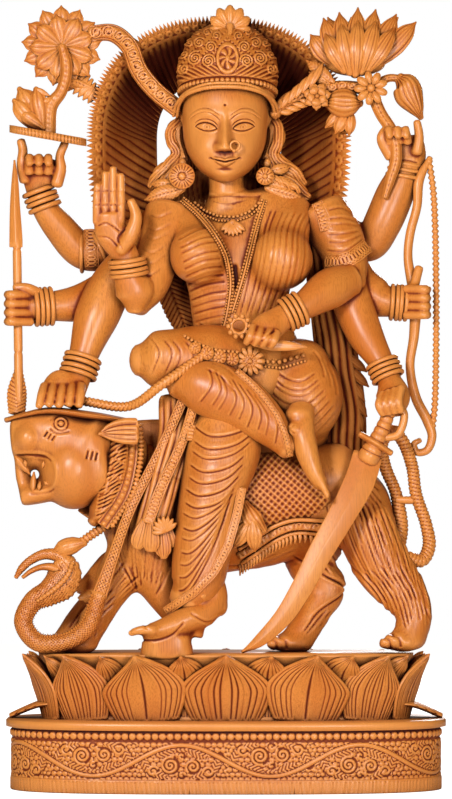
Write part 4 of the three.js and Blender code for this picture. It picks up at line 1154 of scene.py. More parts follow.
def ropes():
    snake = [
        [101, 594, -36, 8], [88, 628, -33, 9], [66, 642, -31, 9], [38, 642, -30, 9], [24, 622, -30, 9],
        [34, 601, -30, 10],
        [50, 592, -30, 13, 12], [62, 582, -30, 17, 12], [66, 570, -30, 15, 11], [62, 562, -30, 9, 9],
    ]
    jaws = [
        limb([
            [70, 564, -30, 9], [60, 556, -30, 7], [46, 554, -30, 5.5], [32, 560, -30, 4.5], [23, 568, -30, 4],
            [17, 577, -30, 2.4],
        ], 0.8, scales(2.4, 0.5)),
        limb([
            [64, 572, -30, 7, 8], [52, 567, -30, 4.5, 8], [42, 567, -30, 3.2, 6], [32, 571, -30, 2.6, 5],
            [24, 577, -30, 2, 4],
        ], 0.8),
        limb([
            [74, 562, -36, 2], [68, 576, -40, 2.4], [54, 590, -40, 2.4], [38, 601, -38, 1.6],
        ], 0.8, ripples(0.4, 2)),
    ]
    strands = [
        [
            [186, 396, -44, 5, 3], [163, 447, -40, 5, 3], [132, 508, -46, 5, 3], [115, 554, -40, 5.5, 3.5],
            [101, 594, -36, 7.5, 6],
        ],
        [[197, 398, -49, 5, 3], [184, 440, -45, 5, 3], [163, 486, -50, 5.5, 3], [149, 522, -50, 6, 3]],
    ]
    rope = limb([
        [84, 401, -36, 4.8], [130, 406, -44, 4.8], [162, 385, -58, 4.8], [206, 354, -52, 4.8],
    ], 0.75, plait(3.4, 0.8))

    def pleats(s):
        return groove(s.x + 0.05 * np.sin(s.run / 11), 0.4, 1.2, 0.075) + groove(s.run, 60, 0.4, 1)

    panel = [
        limb([
            [180, 400, -30, 20, 10], [176, 440, -34, 17, 11], [164, 484, -40, 16, 10], [152, 526, -42, 15, 9],
            [147, 544, -42, 13, 7],
        ], 0.9, pleats),
    ]
    flaps = [
        ([146, 520, -48], [138, 548, -46], 9, 0.7, 6, 5), ([153, 518, -50], [152, 551, -47], 9, 0.75, 6, 6),
        ([162, 522, -47], [165, 558, -44], 9, 0.7, 6, 4), ([168, 524, -45], [174, 546, -43], 6, 0.7, 4, 3),
    ]
    for *ends, width, widest, veins, blunt in flaps:
        panel.append(leaf(*ends, width, 2, 1, widest, veins, 0.8, blunt=blunt))
    tufts = [
        leaf([166, 532, -50], [166 + 13 * np.sin(a), 530 - 14 * np.cos(a), -52], 2.6, 2, 1, 0.6, 1, 0.7)
        for a in np.radians(np.linspace(-100, 60, 8))
    ]
    lionBell = [
        limb([[114, 520, -22, 5], [82, 542, -30, 4]], 0.9, ripples(0.6, 2)),
        limb([
            [86, 542, -30, 4], [74, 545, -30, 8.5], [63, 549, -30, 8.5], [56, 552, -30, 4],
        ], 0.9, ribs(0.6, 0.5, 0.1)),
    ]
    return [
        limb(snake, 0.75, scales(comb=1.5)), jaws,
        [limb(joints, 0.7, flatHatch(3.0, 0.7), edge=3.0) for joints in strands],
        rope, panel, tufts, lionBell,
    ]


# Legs and skirt

def legs():
    knee = between([[150, 336], [160, 352], [152, 376]], [[196, 340], [206, 356], [198, 378]], 5)
    shin = between([[200, 404], [213, 384], [209, 364]], [[276, 446], [278, 420], [256, 390]], 9, ragged=0.12)
    shin += between([[212, 362], [224, 366], [236, 376]], [[206, 368], [222, 376], [236, 392]], 2)
    stand = between(
        [[192, 424], [212, 436], [240, 432], [262, 418]], [[182, 500], [198, 508], [222, 502], [240, 484]], 7,
        0.2, 0.06,
    )
    stand += between(
        [[181, 512], [198, 518], [222, 506], [238, 488]], [[176, 604], [188, 596], [214, 550], [234, 502]], 8,
        0.2, 0.05,
    )
    raised = limb([
        [140, 360, -34, 16, 18], [154, 360, -34, 27, 26], [178, 358, -34, 29, 28], [216, 358, -28, 33, 30],
        [262, 374, -14, 38, 34],
    ], 0.95, incised(knee, 0.55, 0.9, 0.4, 0.15))
    crossing = limb([
        [180, 380, -40, 18, 20], [204, 386, -46, 27, 25], [240, 403, -48, 27, 24], [270, 426, -48, 20, 20],
        [290, 448, -48, 12, 12],
    ], 0.9, incised(shin, 0.65, 0.7, 0.4, 0.08, 2.5))
    standing = limb([
        [230, 418, -30, 34, 32], [224, 450, -36, 37, 33], [211, 500, -38, 31, 29], [203, 550, -38, 29, 27],
        [197, 586, -38, 25, 25], [188, 602, -38, 19, 20],
    ], 0.95, incised(stand, 1.0, 0.75, 0.5, 0.1, 4.5))

    def braidOn(line, under, width):
        return band(line, under, width, 1.5, 0.0, flatHatch(), 0.7, 4, 8)

    shinEdge = braidOn(
        [[238, 371], [252, 383], [265, 397], [277, 414], [286, 434], [291, 456]], [crossing], 3.7,
    )
    hem = braidOn([[243, 488], [238, 514], [229, 546], [215, 572], [195, 592], [167, 611]], [standing], 4.6)
    hip = braidOn([[196, 404], [194, 420], [191, 440]], [standing], 4)
    return piece("legs", [raised, crossing, standing, shinEdge, hem, hip])


# A flat band's crossed hatching between two fine edge lines
def flatHatch(pitch=3.0, depth=0.65):
    def carve(s):
        y = s.x * s.wide
        mesh = groove(s.run + y, pitch, depth, 0.5) + groove(s.run - y, pitch, depth, 0.5)
        return mesh * (np.abs(s.x) < 0.8) - 0.7 * swell((np.abs(s.x) - 0.82) * s.wide, 0.45)

    return carve


# Rings round a limb: between the first and the last joint, count cords lie round its section
def hoopAround(joints, count, cord):
    sides = 48
    curve, _ = run(joints, 0.8)
    along = unit(np.gradient(curve[:, :3], axis=0))
    rings = []
    for share in np.linspace(0, 1, count) if count > 1 else [0.5]:
        k = int(round(share * (len(curve) - 1)))
        across = unit(np.cross(along[k], front))
        towards = unit(np.cross(across, along[k]))
        turn = fullTurn(sides)[:, None]
        wide, deep = curve[k, 3:]
        spots = curve[k, :3] + across * wide * np.cos(turn) + towards * deep * np.sin(turn)
        rows = np.column_stack([spots, np.full((sides, 2), cord)])
        rings.append(loft(rows, np.arange(sides) * 1.0, 8, ring=True, facing=along[k]))
    return rings


def feet():
    ankle = [
        limb([
            [302, 410, -42, 14, 13], [303, 430, -50, 12.5], [308, 452, -53, 11.5], [316, 474, -54, 8.5, 10],
            [322, 484, -54, 7, 9],
        ], 1.5),
        egg([294, 429, -56], [6, 7, 6]), egg([300, 415, -48], [14, 12, 10]),
        limb([
            [210, 584, -36, 16], [213, 600, -37, 15.5], [205, 612, -42, 14, 15], [188, 619, -48, 13, 15],
            [166, 628, -51, 10.5, 15], [148, 632, -53, 7.5, 14],
        ], 1.5),
        egg([218, 606, -36], [11, 14, 11]), egg([203, 594, -52], [6, 5, 6]),
    ]
    toes = []
    for i in range(-2, 3):
        near = i * 3 - 54
        toes.append(limb([[319, 476, near + 1, 3.8], [325, 488, near, 3.4], [329, 497, near, 2.8]]))
        near = i * 5 - 54
        toes.append(limb([[154, 630, near + 1, 5], [141, 630, near, 4.4], [131, 633, near + 1, 3.6]]))
    block = [
        limb([
            [168, 655, -42, 26, 20], [168, 646, -43, 25, 20], [169, 634, -44, 22, 19],
        ], 1.5, edge=3.4, tip=0.1),
        limb([[196, 636, -38, 8, 12], [200, 622, -38, 7, 10]], 1.5, tip=0.1),
    ]
    nails = [
        [[133, 629], [131, 632], [133, 635]], [[150, 622], [146, 626], [150, 630]], [[326, 492], [329, 491]],
        [[296, 424], [290, 429], [296, 434]], [[203, 588], [197, 594], [203, 600]],
    ]
    soles = [[[140, 640], [158, 640], [174, 634], [186, 621]], [[190, 612], [208, 622], [224, 616]]]
    piece(
        "feet", [ankle, toes, block], blend=1.8, blendings=3, fuse=0.95, softenings=2,
        relief=incised(nails + soles, 0.7, 0.9, 0.3),
    )


def skirt():
    arcs = between(
        [[272, 366], [287, 378], [302, 381], [318, 372]], [[250, 400], [278, 432], [312, 436], [341, 408]], 8,
    )
    arcs += between([[314, 350], [322, 362], [326, 378]], [[328, 362], [336, 380], [338, 396]], 3)
    back = between([[214, 440], [250, 470], [300, 466]], [[210, 452], [250, 482], [310, 478]], 2)
    haunch = [
        egg([305, 396, -10], [39, 42, 46], 2), egg([262, 374, -8], [48, 38, 34], 2),
        egg([262, 430, 6], [70, 44, 40], 2.5),
        egg([300, 362, -10], [30, 32, 24], 2),
    ]
    hips = piece(
        "hips", haunch, blend=3, blendings=6, fuse=1.1, softenings=2,
        relief=incised(arcs + back, 0.6, 0.75, 0.4, 0.08, 2.0),
    )

    saddleOutline = [
        [236, 456], [276, 452], [324, 470], [332, 500], [322, 524], [296, 523], [272, 530], [250, 546],
        [236, 520],
    ]

    def weave(s):
        inside = within(saddleOutline, s, 1.2)
        return inside * (0.4 - lozenges(s, 3.9, 0.8, 40, 0.7))

    saddle = limb([
        [196, 494, 6, 50, 48], [250, 494, 8, 56, 52], [300, 488, 10, 50, 52], [344, 476, 8, 36, 46],
    ], 0.92, weave)
    hem = [[240, 556], [256, 546], [274, 534], [296, 526], [328, 528]]
    under = [lionSkin, piece("saddle", [saddle])]
    borders = [
        [[240, 549], [256, 539], [274, 527], [296, 520], [326, 521]],
        [[243, 563], [258, 553], [276, 541], [297, 533], [329, 535]],
    ]
    saddleHem = [
        band(drawn(hem, 16), under, 4.4, 1.8, 1.0, relief=scrolls(7, 3.0, 0.8), fine=0.75, edge=4),
        [band(drawn(line, 16), under, 2.0, 1.6, 0.8, fine=0.8) for line in borders],
    ]
    strips = []
    for k in range(24):
        share = k / 23
        across, down = np.array(drawn(hem, 24))[k]
        strips.append([[across, down + 5], [across + 1.5, down + 12], [across + 1, down + 19 - 3 * share]])
    depths = layOn([strip[1] for strip in strips], under)[:, 2]
    fringe = [
        limb([
            [*strip[0], z - 2, 2.1, 1.6], [*strip[1], z - 3, 2.4, 1.8], [*strip[2], z - 2, 1.2, 1.2],
        ], 0.9, ribs(0.9, 0.4, 0.2))
        for strip, z in zip(strips, depths)
    ]
    knot = [
        limb([[244, 504, -34, 6], [252, 520, -38, 12, 8], [262, 531, -34, 7]], 0.8, ribs(0.4, 0.8, 0.09)),
        leaf([250, 522, -40], [234, 548, -36], 9, veins=4),
        leaf([254, 522, -42], [256, 552, -36], 9, veins=4), leaf([246, 516, -38], [233, 526, -34], 6),
    ]
    piece("saddleHem", [saddleHem, fringe, knot])
    return hips


# Trunk and drape

# The bust and waist are softened together; the cloth is cut by drawn lines, and the neck opening lies lower.
def trunk():
    body = [
        limb([
            [227, 172, -4, 19, 19], [228, 196, -4, 21, 20], [233, 208, -2, 52, 20], [240, 224, -4, 66, 25],
            [241, 250, -6, 64, 29], [240, 284, -8, 53, 27], [241, 318, -8, 48, 27], [250, 362, -6, 54, 34],
        ], 2.5),
        egg([198, 255, -30], [28, 31, 29], 2),
        limb([[180, 208, -4, 13], [190, 230, -16, 18], [198, 250, -24, 22]], 2),
        egg([283, 259, -31], [31, 32, 31], 2),
        limb([[300, 206, -4, 14], [292, 228, -16, 20], [284, 252, -24, 24]], 2),
        egg([238, 322, -14], [34, 24, 26], 2),
    ]
    left = between([[217, 227], [200, 229], [178, 240]], [[236, 330], [216, 334], [198, 338]], 14)
    right = between(
        [[266, 208], [260, 226], [254, 252], [248, 288], [240, 318]],
        [[322, 212], [312, 232], [312, 262], [304, 290], [290, 320]], 10,
    )
    waist = between([[198, 322], [214, 332], [236, 330]], [[200, 344], [220, 350], [240, 344]], 3)
    opening = [[190, 196], [212, 226], [231, 262], [237, 292], [247, 254], [259, 206], [262, 194]]
    slit = [[[236, 262], [237, 276], [236.5, 292]]]
    neck = [[[207, 190], [228, 195], [249, 189]], [[206, 199], [228, 204], [251, 198]]]
    necklace = incised([[[197, 206], [214, 217], [230, 219], [246, 217], [260, 207]]], 0.7, 0.8, 0.2, 0.02)
    carving = layered(
        incised(left, 0.7, 0.8, 0.4, 0.06, 1.5, True), incised(right, 0.48, 0.75, 0.3, 0.06, 0.3, True),
        incised(waist, 0.6, 0.95, 0.4, 0.1, 0, True),
        lambda s: -1.5 * within(opening, s, 1.2) * smooth(-s.out[..., 1], -0.2, 0.25),
        incised(slit, 2.6, 1.6, 0, 0.2, 0, True), incised(neck, 0.35, 0.9, 0.2, 0.2, 0, True), necklace,
    )
    body = piece("trunk", body, blend=3.0, blendings=9, fuse=1.1, softenings=2, relief=carving)
    edges = [
        [[185, 198], [200, 211], [213, 226], [224, 243], [231, 260], [234, 284], [231, 310], [226, 332]],
        [[263, 200], [256, 222], [249, 250], [242, 276], [236, 296], [231, 312]],
    ]
    trim = []
    for edge, side in zip(edges, (-1, 1)):
        line = drawn(edge, 60)
        slope = unit(np.gradient(line, axis=0))
        across = np.stack([slope[:, 1], -slope[:, 0]], -1) * side
        trim.append(beadLine(line, body, 1.25, 2.5, 0.2))
        trim.append(beadLine(line + across * 4.6, body, 1.0, 2.1, 0.1))
        trim.append(band(line + across * 2.3, body, 1.2, 1.0, 0.1, fine=0.8))
    for drop, radius, pitch in ((0, 1.5, 3.0), (4.5, 1.1, 2.3)):
        trim.append(
            beadLine([
                [196, 203 + drop], [206, 211 + drop], [219, 216 + drop], [236, 217 + drop], [250, 212 + drop],
                [260, 203 + drop],
            ], body, radius, pitch, 0.3)
        )
    fan = layOn([[234, 222], [234, 236]], body, 0.6)
    for angle in np.radians(np.linspace(-52, 52, 7)):
        trim.append(
            leaf(
                [234, 221, fan[0, 2]], [234 + 15 * np.sin(angle), 221 + 15 * np.cos(angle), fan[1, 2]], 3, 2,
                1, 0.55, 1, 0.7,
            )
        )
    trim += [rosette([234, 223, fan[0, 2] - 1], 4, 8, 2)]
    # the belt: a row of beads with small rosettes, a rosette with petals, and a chain of beads to the hip
    under = [body, legSkin, hipSkin]
    girdle = [beadLine([[186, 336], [200, 344], [218, 350], [238, 352]], under, 1.5, 3.0, 0.4)]
    for spot, radius in zip(
        layOn([[196, 348], [208, 353], [220, 357], [233, 359]], under, 0.4), (6, 7, 7.5, 7),
    ):
        girdle.append(rosette(spot, radius, 9, 2.6))
    centre = layOn([[251, 361]], under, 1.5)[0]
    buckle = [
        rosette(centre, 8.5, 14, 3),
        flower([*centre[:2], centre[2] + 1.5], 14, 12, 1, 2.2, boss=0, widest=0.7, blunt=2.5),
    ]
    chain = [
        beadLine([[262, 361], [280, 362], [304, 355]], under, 1.9, 3.9, 0.6),
        beadLine([[262, 366], [282, 368], [306, 361]], under, 1.3, 2.7, 0.6),
    ]
    piece("trim", [trim, girdle, buckle, chain])


def drape():
    pleats = limb(
        [
            [322, 214, 4, 22, 18], [326, 260, 8, 20, 18], [334, 330, 12, 20, 20], [344, 410, 12, 22, 22],
            [346, 470, 12, 20, 22],
        ],
        1.0, lambda s: groove(s.turn + 0.05 * np.sin(s.run / 9), 0.42, 2.4, 0.09) + 0.8,
    )
    fall = limb(
        [[222, 176, 24, 52, 14], [216, 240, 30, 54, 12], [220, 290, 28, 40, 10], [222, 345, 24, 28, 8]], 1.3,
        lambda s: groove(s.across + 2 * np.sin(s.down / 9), 5, 1.0, 1.0),
    )
    strands = [
        leaf([344 + 2 * k, 352 + 12 * k, 4], [368 + 3 * (k % 2) - k, 372 + 15 * k, 2], 5, 3, 2, 0.5, 3, 0.9)
        for k in range(5)
    ]
    toothed = leaf([164, 268, 16], [194, 348, 14], 15, 4, 2, 0.4, 0, 0.8, barbs=4.2, depth=1.2)
    return [pleats, fall, strands, toothed]


# Head. The face is a general calm one on the old canon: eyes half way down the head, the nose's foot half way
# from brow to chin, the mouth a third below, almond eyes one eye's width apart.

head = {
    "middle": 226, "depth": -10,  # steps, and mm
    "levels": [  # down, half width, reach to the front, reach to the back, in steps
        [74, 30, 30, 34], [84, 38, 37.5, 40], [95, 41.5, 40.5, 42], [110, 42.6, 41.6, 42],
        [127, 42.4, 41.4, 40], [140, 41.2, 41.0, 38], [150, 38.6, 40.4, 35], [159, 34.6, 39.4, 31],
        [167, 29.4, 37.6, 27], [174, 22.5, 34.6, 24], [179, 14.5, 30, 20], [182, 6, 24, 14],
    ],
    "eye": [18.6, 127.5, 10.6],  # across from the middle, down, half width
    "nose": 8.4, "mouth": [161.0, 13.6],  # mm; down and half width
}


def bell(x, y, acrossReach, downReach):
    return np.exp(-((x / acrossReach) ** 2) - (y / downReach) ** 2)


# mm that the face stands out at x steps from its middle and y steps down
def faceRelief(x, y):
    ax = np.abs(x)
    eyeX, eyeY, eyeHalf = head["eye"]
    mouthY, mouthHalf = head["mouth"]
    out = -2.7 * bell(ax - 17.5, y - 126, 12.5, 7.5)  # sockets
    out += 1.3 * bell(ax - 19, y - 112.5, 15, 5)  # brow bone
    out += 1.8 * bell(ax - 24, y - 148, 10, 9)  # cheeks
    rise = smooth(y, 110, 147) ** 1.3 * head["nose"] + 0.9 * smooth(y, 104, 116)
    half = mix(3.3, 6.4, smooth(y, 118, 147))
    out += rise * np.exp(-((ax / half) ** 2.4)) * (1 - smooth(y, 148.5, 152.5))
    out += 3.0 * bell(ax - 6.9, y - 147.2, 3.2, 2.9)  # wings of the nose
    out -= 1.3 * bell(ax - 3.4, y - 151.2, 1.9, 1.0)  # nostrils
    out += 2.0 * bell(x, y - 160.5, 16, 9)  # the mouth's mound
    out -= 0.5 * bell(x, y - 155, 1.5, 2.2)
    part = mouthY + 0.6 * swell(x, 3) - 3.0 * (ax / mouthHalf) ** 2
    upper = 3.4 * dome(ax / mouthHalf) ** 0.7 - 0.8 * swell(x, 1.8) + 0.01
    lower = 4.6 * dome(ax / (mouthHalf - 2)) ** 0.8 + 0.01
    out += 1.5 * np.sin(np.pi * np.clip((part - y) / upper, 0, 1)) ** 0.7 * (ax < mouthHalf)
    out += 1.9 * np.sin(np.pi * np.clip((y - part) / lower, 0, 1)) ** 0.7 * (ax < mouthHalf - 2)
    out -= 1.5 * swell(y - part, 0.8) * (1 - smooth(ax, mouthHalf - 1, mouthHalf + 2))
    out -= 0.8 * bell(ax - mouthHalf - 1.8, y - 158, 2.0, 2.0)
    out -= 1.3 * bell(x, y - 169, 9, 2.4)
    out += 2.2 * bell(x, y - 175, 9, 5.5)  # chin
    u = (ax - eyeX) / eyeHalf
    inside = dome(u)
    middle = eyeY - 1.1 * u
    lidUp, lidLow = 4.8 * inside**0.75 + 0.01, 3.2 * inside**0.9 + 0.01
    v = np.where(y < middle, (middle - y) / lidUp, (y - middle) / lidLow)
    eyeball = (v < 1) & (np.abs(u) < 1)
    out += np.where(eyeball, 1.7 * np.sqrt(np.clip(1 - 0.8 * v**2, 0, 1)) * inside**0.4 - 0.55, 0)
    near = np.abs(u) < 1.04
    out -= 1.0 * swell(y - middle + lidUp, 0.75) * near  # upper lash line
    out -= 0.75 * swell(y - middle - lidLow, 0.65) * near
    out += 0.8 * swell(y - middle + lidUp + 1.9, 1.2) * near  # lids
    out -= 0.55 * swell(y - middle + lidUp + 3.7, 0.6) * near
    out += 0.5 * swell(y - middle - lidLow - 1.6, 1.1) * near
    iris = np.hypot(ax - eyeX + 0.4, y - middle + 0.6)
    out -= 0.45 * swell(iris - 2.7, 0.45) * eyeball
    out -= 0.7 * swell(iris, 0.9)
    arch = 110.0 + 0.034 * (ax - 20.5) ** 2
    brow = smooth(ax, 4.5, 7) * (1 - smooth(ax, 34, 37))
    out += 0.75 * swell(y - arch, 1.1) * brow
    out -= 0.5 * swell(y - arch - 2.0, 0.6) * brow + 0.4 * swell(y - arch + 2.0, 0.6) * brow
    out -= 1.1 * swell(np.hypot(x, y - 105), 1.3)  # bindi
    return out


# Rings down the head, half ellipses to the front and to the back, closer together at the front. The relief is
# pushed straight to the front, less where the head turns away.
def face():
    down = np.linspace(76, 181.5, 170)
    levels = np.array(head["levels"])
    wide, forward, back = (np.interp(down, levels[:, 0], levels[:, k]) for k in (1, 2, 3))
    for _ in range(60):
        for row in (wide, forward, back):
            row[1:-1] = (row[:-2] + 2 * row[1:-1] + row[2:]) / 4
    turn = fullTurn(300)
    turn = turn + 0.42 * np.sin(2 * turn) * 0.5 + 0.28 * np.cos(turn)
    c, s = np.cos(turn)[None], np.sin(turn)[None]
    x = wide[:, None] * np.sign(c) * np.abs(c) ** 0.94
    y = np.repeat(down[:, None], len(turn), 1)
    depth = np.where(
        s > 0, -forward[:, None] * np.abs(s) ** 0.96, back[:, None] * np.abs(s),
    ) * step + head["depth"]
    depth = depth - faceRelief(x, y) * smooth(s, 0.05, 0.5)
    return shell(place(np.stack([head["middle"] + x, y, depth], -1)))


def faceExtras():
    middle, parts = head["middle"], []
    for side in (-1, 1):
        ear = [
            [middle + side * 41, 124, 2, 3], [middle + side * 46, 127, 2, 5],
            [middle + side * 47, 140, 2, 5.5], [middle + side * 43, 152, -1, 4],
            [middle + side * 41, 158, -3, 4],
        ]
        parts.append(limb(ear, 0.8, ribs(0.7, 0.6, 0.12)))
        parts.append(egg([middle + side * 42, 163, -6], [4, 4, 5], 0.7))
    ring = hoop([middle + 10, 145.5, -49], 4.6, 1.1, fine=0.6)
    parts += [
        ring, egg([middle + 9, 150.5, -50], [1.8, 1.8, 1.8], 0.5),
        egg([middle + 13.6, 148, -49], [1.5, 1.5, 1.5], 0.5),
    ]
    return parts


# The crown stands on tilted rings, high over the brow and low behind. Its carving is drawn from the front:
# a medallion, curls beside it, feathers below, and a row of pearls.
crownLook = {
    "middle": 228.5, "depth": -8,
    "levels": [  # down, half width, tilt from the front to the side, in steps
        [86, 47.5, 15], [80, 48.8, 14], [70, 49.8, 12], [58, 49, 9], [48, 46, 7], [39, 40.5, 5], [32, 34, 4],
        [26, 26, 3], [21, 15, 2], [17, 6, 1],
    ],
    "curls": [
        [19, 60, 6.8], [32, 56, 7], [43, 64, 5], [43, 50, 4.5], [17, 46, 5.6], [28, 41, 5.4], [37, 40, 4.2],
        [11, 35, 4.4], [20, 31, 4.2], [29, 30, 3.8], [9, 24, 3],
    ],
    "medal": 12,
    "pearls": 58,
}


def crown():
    look = crownLook
    levels = np.array(look["levels"])
    share = np.linspace(0, len(levels) - 1, 150)
    down, wide, tilt = (np.interp(share, np.arange(len(levels)), levels[:, k]) for k in range(3))
    for _ in range(30):
        for row in (down, wide, tilt):
            row[1:-1] = (row[:-2] + 2 * row[1:-1] + row[2:]) / 4
    turn = fullTurn(420)
    c, s = np.cos(turn)[None], np.sin(turn)[None]
    x = wide[:, None] * c
    y = down[:, None] + tilt[:, None] * (1 - s)
    flat = np.clip(y, 0, 200) - tilt[:, None] * (1 - s) * 0.9  # the carving follows the tilted rings
    ax = np.abs(x)
    px, py = ax * step, flat * step
    rise = np.zeros_like(x)
    for cx, cy, radius in look["curls"]:
        rise = np.maximum(
            rise, rounded(spiral(px - cx * step, py - cy * step, radius * step, 2.0, 1.0 + cx * 0.1), 0.75),
        )
    plain = 1 - smooth(rise, 0, 0.2)
    medal = np.hypot(x, (flat - 58) * 0.72)
    barbs = 0.75 * np.clip(
        np.sin((ax * 0.75 + (flat - 70) * 1.1) * 1.35), -0.2, 1,
    ) * smooth(flat, 63, 66) * (1 - smooth(flat, 74, 75.5))
    ground = 0.45 * np.sin((ax + flat) * 1.25) * np.clip(
        np.sin((ax - flat) * 0.8), 0, 1,
    ) * plain * (flat < 64)
    rise = np.where(medal < look["medal"], 0, rise + ground + barbs * (flat > 63))
    rise += np.where(medal < look["medal"] + 0.5, rounded(medal - 10, 1.6) - 0.2, 0)
    rise += 0.5 * np.cos(
        np.arctan2(flat - 58, x) * 7 + medal * 0.4
    ) * swell(medal - 5.5, 3) + 0.9 * rounded(medal, 2.2)
    pearl = np.hypot(
        (
            np.mod(turn / (2 * np.pi) * look["pearls"], 1)[None] - 0.5
        ) * 2 * np.pi * wide[:, None] / look["pearls"],
        flat - 80,
    )
    rise += np.where((flat > 77.2) & (flat < 83), 1.5 * rounded(pearl, 2.6) - 0.2, 0)
    rise -= 0.8 * swell(flat - 76.4, 0.7) + 0.8 * swell(flat - 83.6, 0.7)
    lobes = 1.6 * np.abs(np.sin(flat / 7.5)) * (1 - np.abs(s)) * (flat < 74)  # the sides' stepped outline
    push = (rise * 1.25 - 0.3 + lobes) * smooth(down, 18, 24)[:, None]
    out = 1 + push / (wide[:, None] * step)
    spots = place(
        np.stack([look["middle"] + x * out, y, look["depth"] - s * wide[:, None] * 0.97 * step * out], -1)
    )
    # the brim: a doubled cord that frames the face and joins the crown's foot
    brim = []
    for lift, cord in ((0, 1.5), (3.6, 1.2)):
        line = [
            [178 - lift, 116, -6], [180.5 - lift * 0.8, 104, -18], [188, 94 - lift * 0.5, -33],
            [206, 88 - lift, -42], [227, 86.5 - lift, -45.5], [248, 88 - lift, -42],
            [266, 94 - lift * 0.5, -33], [273.5 + lift * 0.8, 104, -18], [276 + lift, 116, -6],
        ]
        brim.append(limb([[*spot, cord * 1.4, cord * 1.4] for spot in line], 0.8, ripples(0.25, 3)))
    finial = [
        leaf(
            [231, 30, -26], [231 + 19 * np.cos(a), 25 - 18 * np.sin(a), -24], 5.6, 3, 2, 0.76, 3, 0.8,
            blunt=3.6,
        )
        for a in np.radians(np.linspace(-14, 194, 7))
    ]
    finial += [
        limb([
            [231, 26, -29, 4.4], [231, 33, -32, 3], [228, 42, -36, 2.2], [230, 50, -38, 1.4],
        ], 0.7, ribs(0.9, 0.4, 0.2))
    ]
    cap = egg([227, 112, 6], [48, 40, 38])
    return [shell(spots), brim, finial, cap]


# Wavy locks beside the neck, with a rosette and a feathered leaf at each ear
def hair():
    def strands(s):
        return groove(s.x * s.wide + 0.9 * np.sin(s.run / 3.6), 2.7, 0.9, 0.6)

    locks = [limb(joints, 0.9, strands) for joints in (
        [
            [182, 120, 4, 6], [173, 130, 2, 7], [173, 142, 0, 6], [178, 154, 0, 7], [170, 166, 0, 8],
            [160, 174, 0, 7], [152, 186, 2, 5],
        ],
        [[184, 158, 2, 9], [178, 172, 2, 12], [166, 186, 2, 11], [156, 198, 2, 6]],
        [
            [272, 118, 4, 6], [279, 130, 2, 7], [279, 142, 0, 7], [274, 154, 0, 8], [283, 166, 0, 9],
            [296, 174, 0, 8], [304, 184, 2, 5],
        ],
        [[270, 160, 2, 10], [276, 174, 2, 13], [292, 186, 2, 12], [308, 198, 2, 6]],
        [[227, 104, 24, 44, 20], [226, 160, 26, 46, 16], [222, 206, 26, 56, 12]],
    )]
    # curling ends beside the neck
    tails = [
        limb([
            [264 + 8 * k, 172 + 4 * k, -12, 3.4], [272 + 8 * k, 178 + 3 * k, -14, 3.6],
            [276 + 8 * k, 186 + 2 * k, -12, 2.6],
        ], 0.8, strands)
        for k in range(4)
    ]
    plumes = [leaf(root, tip, width, barbs=3) for root, tip, width in (
        ([184, 188, -12], [145, 200, -8], 9), ([176, 184, -10], [152, 184, -6], 6),
        ([268, 182, -12], [300, 186, -8], 8), ([270, 172, -10], [292, 166, -6], 6),
        ([268, 188, -12], [306, 200, -8], 8),
    )]
    return [locks, rosette([183, 176, -19], 13, 20), rosette([266, 176, -18], 9, 12), tails, plumes]


# Halo: a fluted shell. Along the arch lie loops round its thickness; the front face swings back by a sine,
# its flutes droop as they run inwards, and pearls and long teeth follow the edge.
haloLook = {
    "across": 220, "down": 140, "low": 30, "power": 2.3, "outer": [127, 119, 180], "inner": [62, 60, 150],
    "back": 44, "wall": 5, "tooth": 6.6, "teeth": 104, "flutes": 54, "fluteDeep": 2.2, "border": 0.17,
    "droop": 0.3, "pearls": 42,
}


def halo():
    look = haloLook
    low = np.radians(look["low"])
    angle = np.linspace(-low, np.pi + low, 940)[:, None]
    frontShare = np.concatenate([[0, 0.004], np.linspace(0.02, 1, 46)])
    share = np.concatenate([frontShare, np.linspace(1, 0, 14)])[None]
    isFront = np.concatenate([np.ones(len(frontShare), bool), np.zeros(14, bool)])[None]
    c, s = np.cos(angle), np.sin(angle)
    square = (np.abs(c) ** look["power"] + np.abs(s) ** look["power"]) ** (-1 / look["power"])
    radius = lambda k: mix(look["outer"][k], look["inner"][k], share) * square
    tooth = np.abs(np.mod(angle / np.pi * look["teeth"], 1) - 0.5) * 2
    edge = (look["tooth"] * tooth - 0.5) * (1 - smooth(share, 0, 0.045))
    border = look["border"]
    phase = (angle + look["droop"] * np.clip(share - border, 0, 1) * np.cos(angle)) / np.pi * look["flutes"]
    index = np.round(phase)
    line = np.abs(phase - index)
    own = 0.55 + 0.45 * uneven(index)
    flute = -look["fluteDeep"] * own * swell(line, 0.2) * smooth(
        share, border + 0.02, border + 0.06,
    ) * (1 - smooth(share, 0.97, 1))
    pearl = np.hypot((np.mod(angle / np.pi * look["pearls"], 1) - 0.5) * 7.4, (share - border * 0.62) * 56)
    pearls = 2.1 * rounded(pearl, 3.2) - 1.6 * swell(pearl, 1.1) - 0.9
    relief = np.where(share < border, np.where(share > 0.04, pearls, 0), flute)
    depth = mix(0, look["back"], np.sin(share * np.pi / 2)) + np.where(isFront, -relief, look["wall"])
    high = np.where(s >= 0, radius(1), radius(2))
    steps = np.stack([
        look["across"] + c * (radius(0) + edge), look["down"] - s * (high + edge), depth + 0 * c,
    ], -1)
    return shell(place(steps))


# Arms and hands

def arm(joints):
    return limb(joints, 1.2, tip=0.4)


def fingers(count, knuckle, tip, spacing, thickness):
    shells = []
    for i in range(count):
        shift = (i - (count - 1) / 2) * spacing
        root, end = np.array(knuckle) + [shift, 0, 0], np.array(tip) + [shift, 0, 0]
        rows = zip((root, (root + end) / 2, end), (thickness, thickness * 0.98, thickness * 0.82))
        shells.append(limb([[*spot, half] for spot, half in rows]))
    return shells


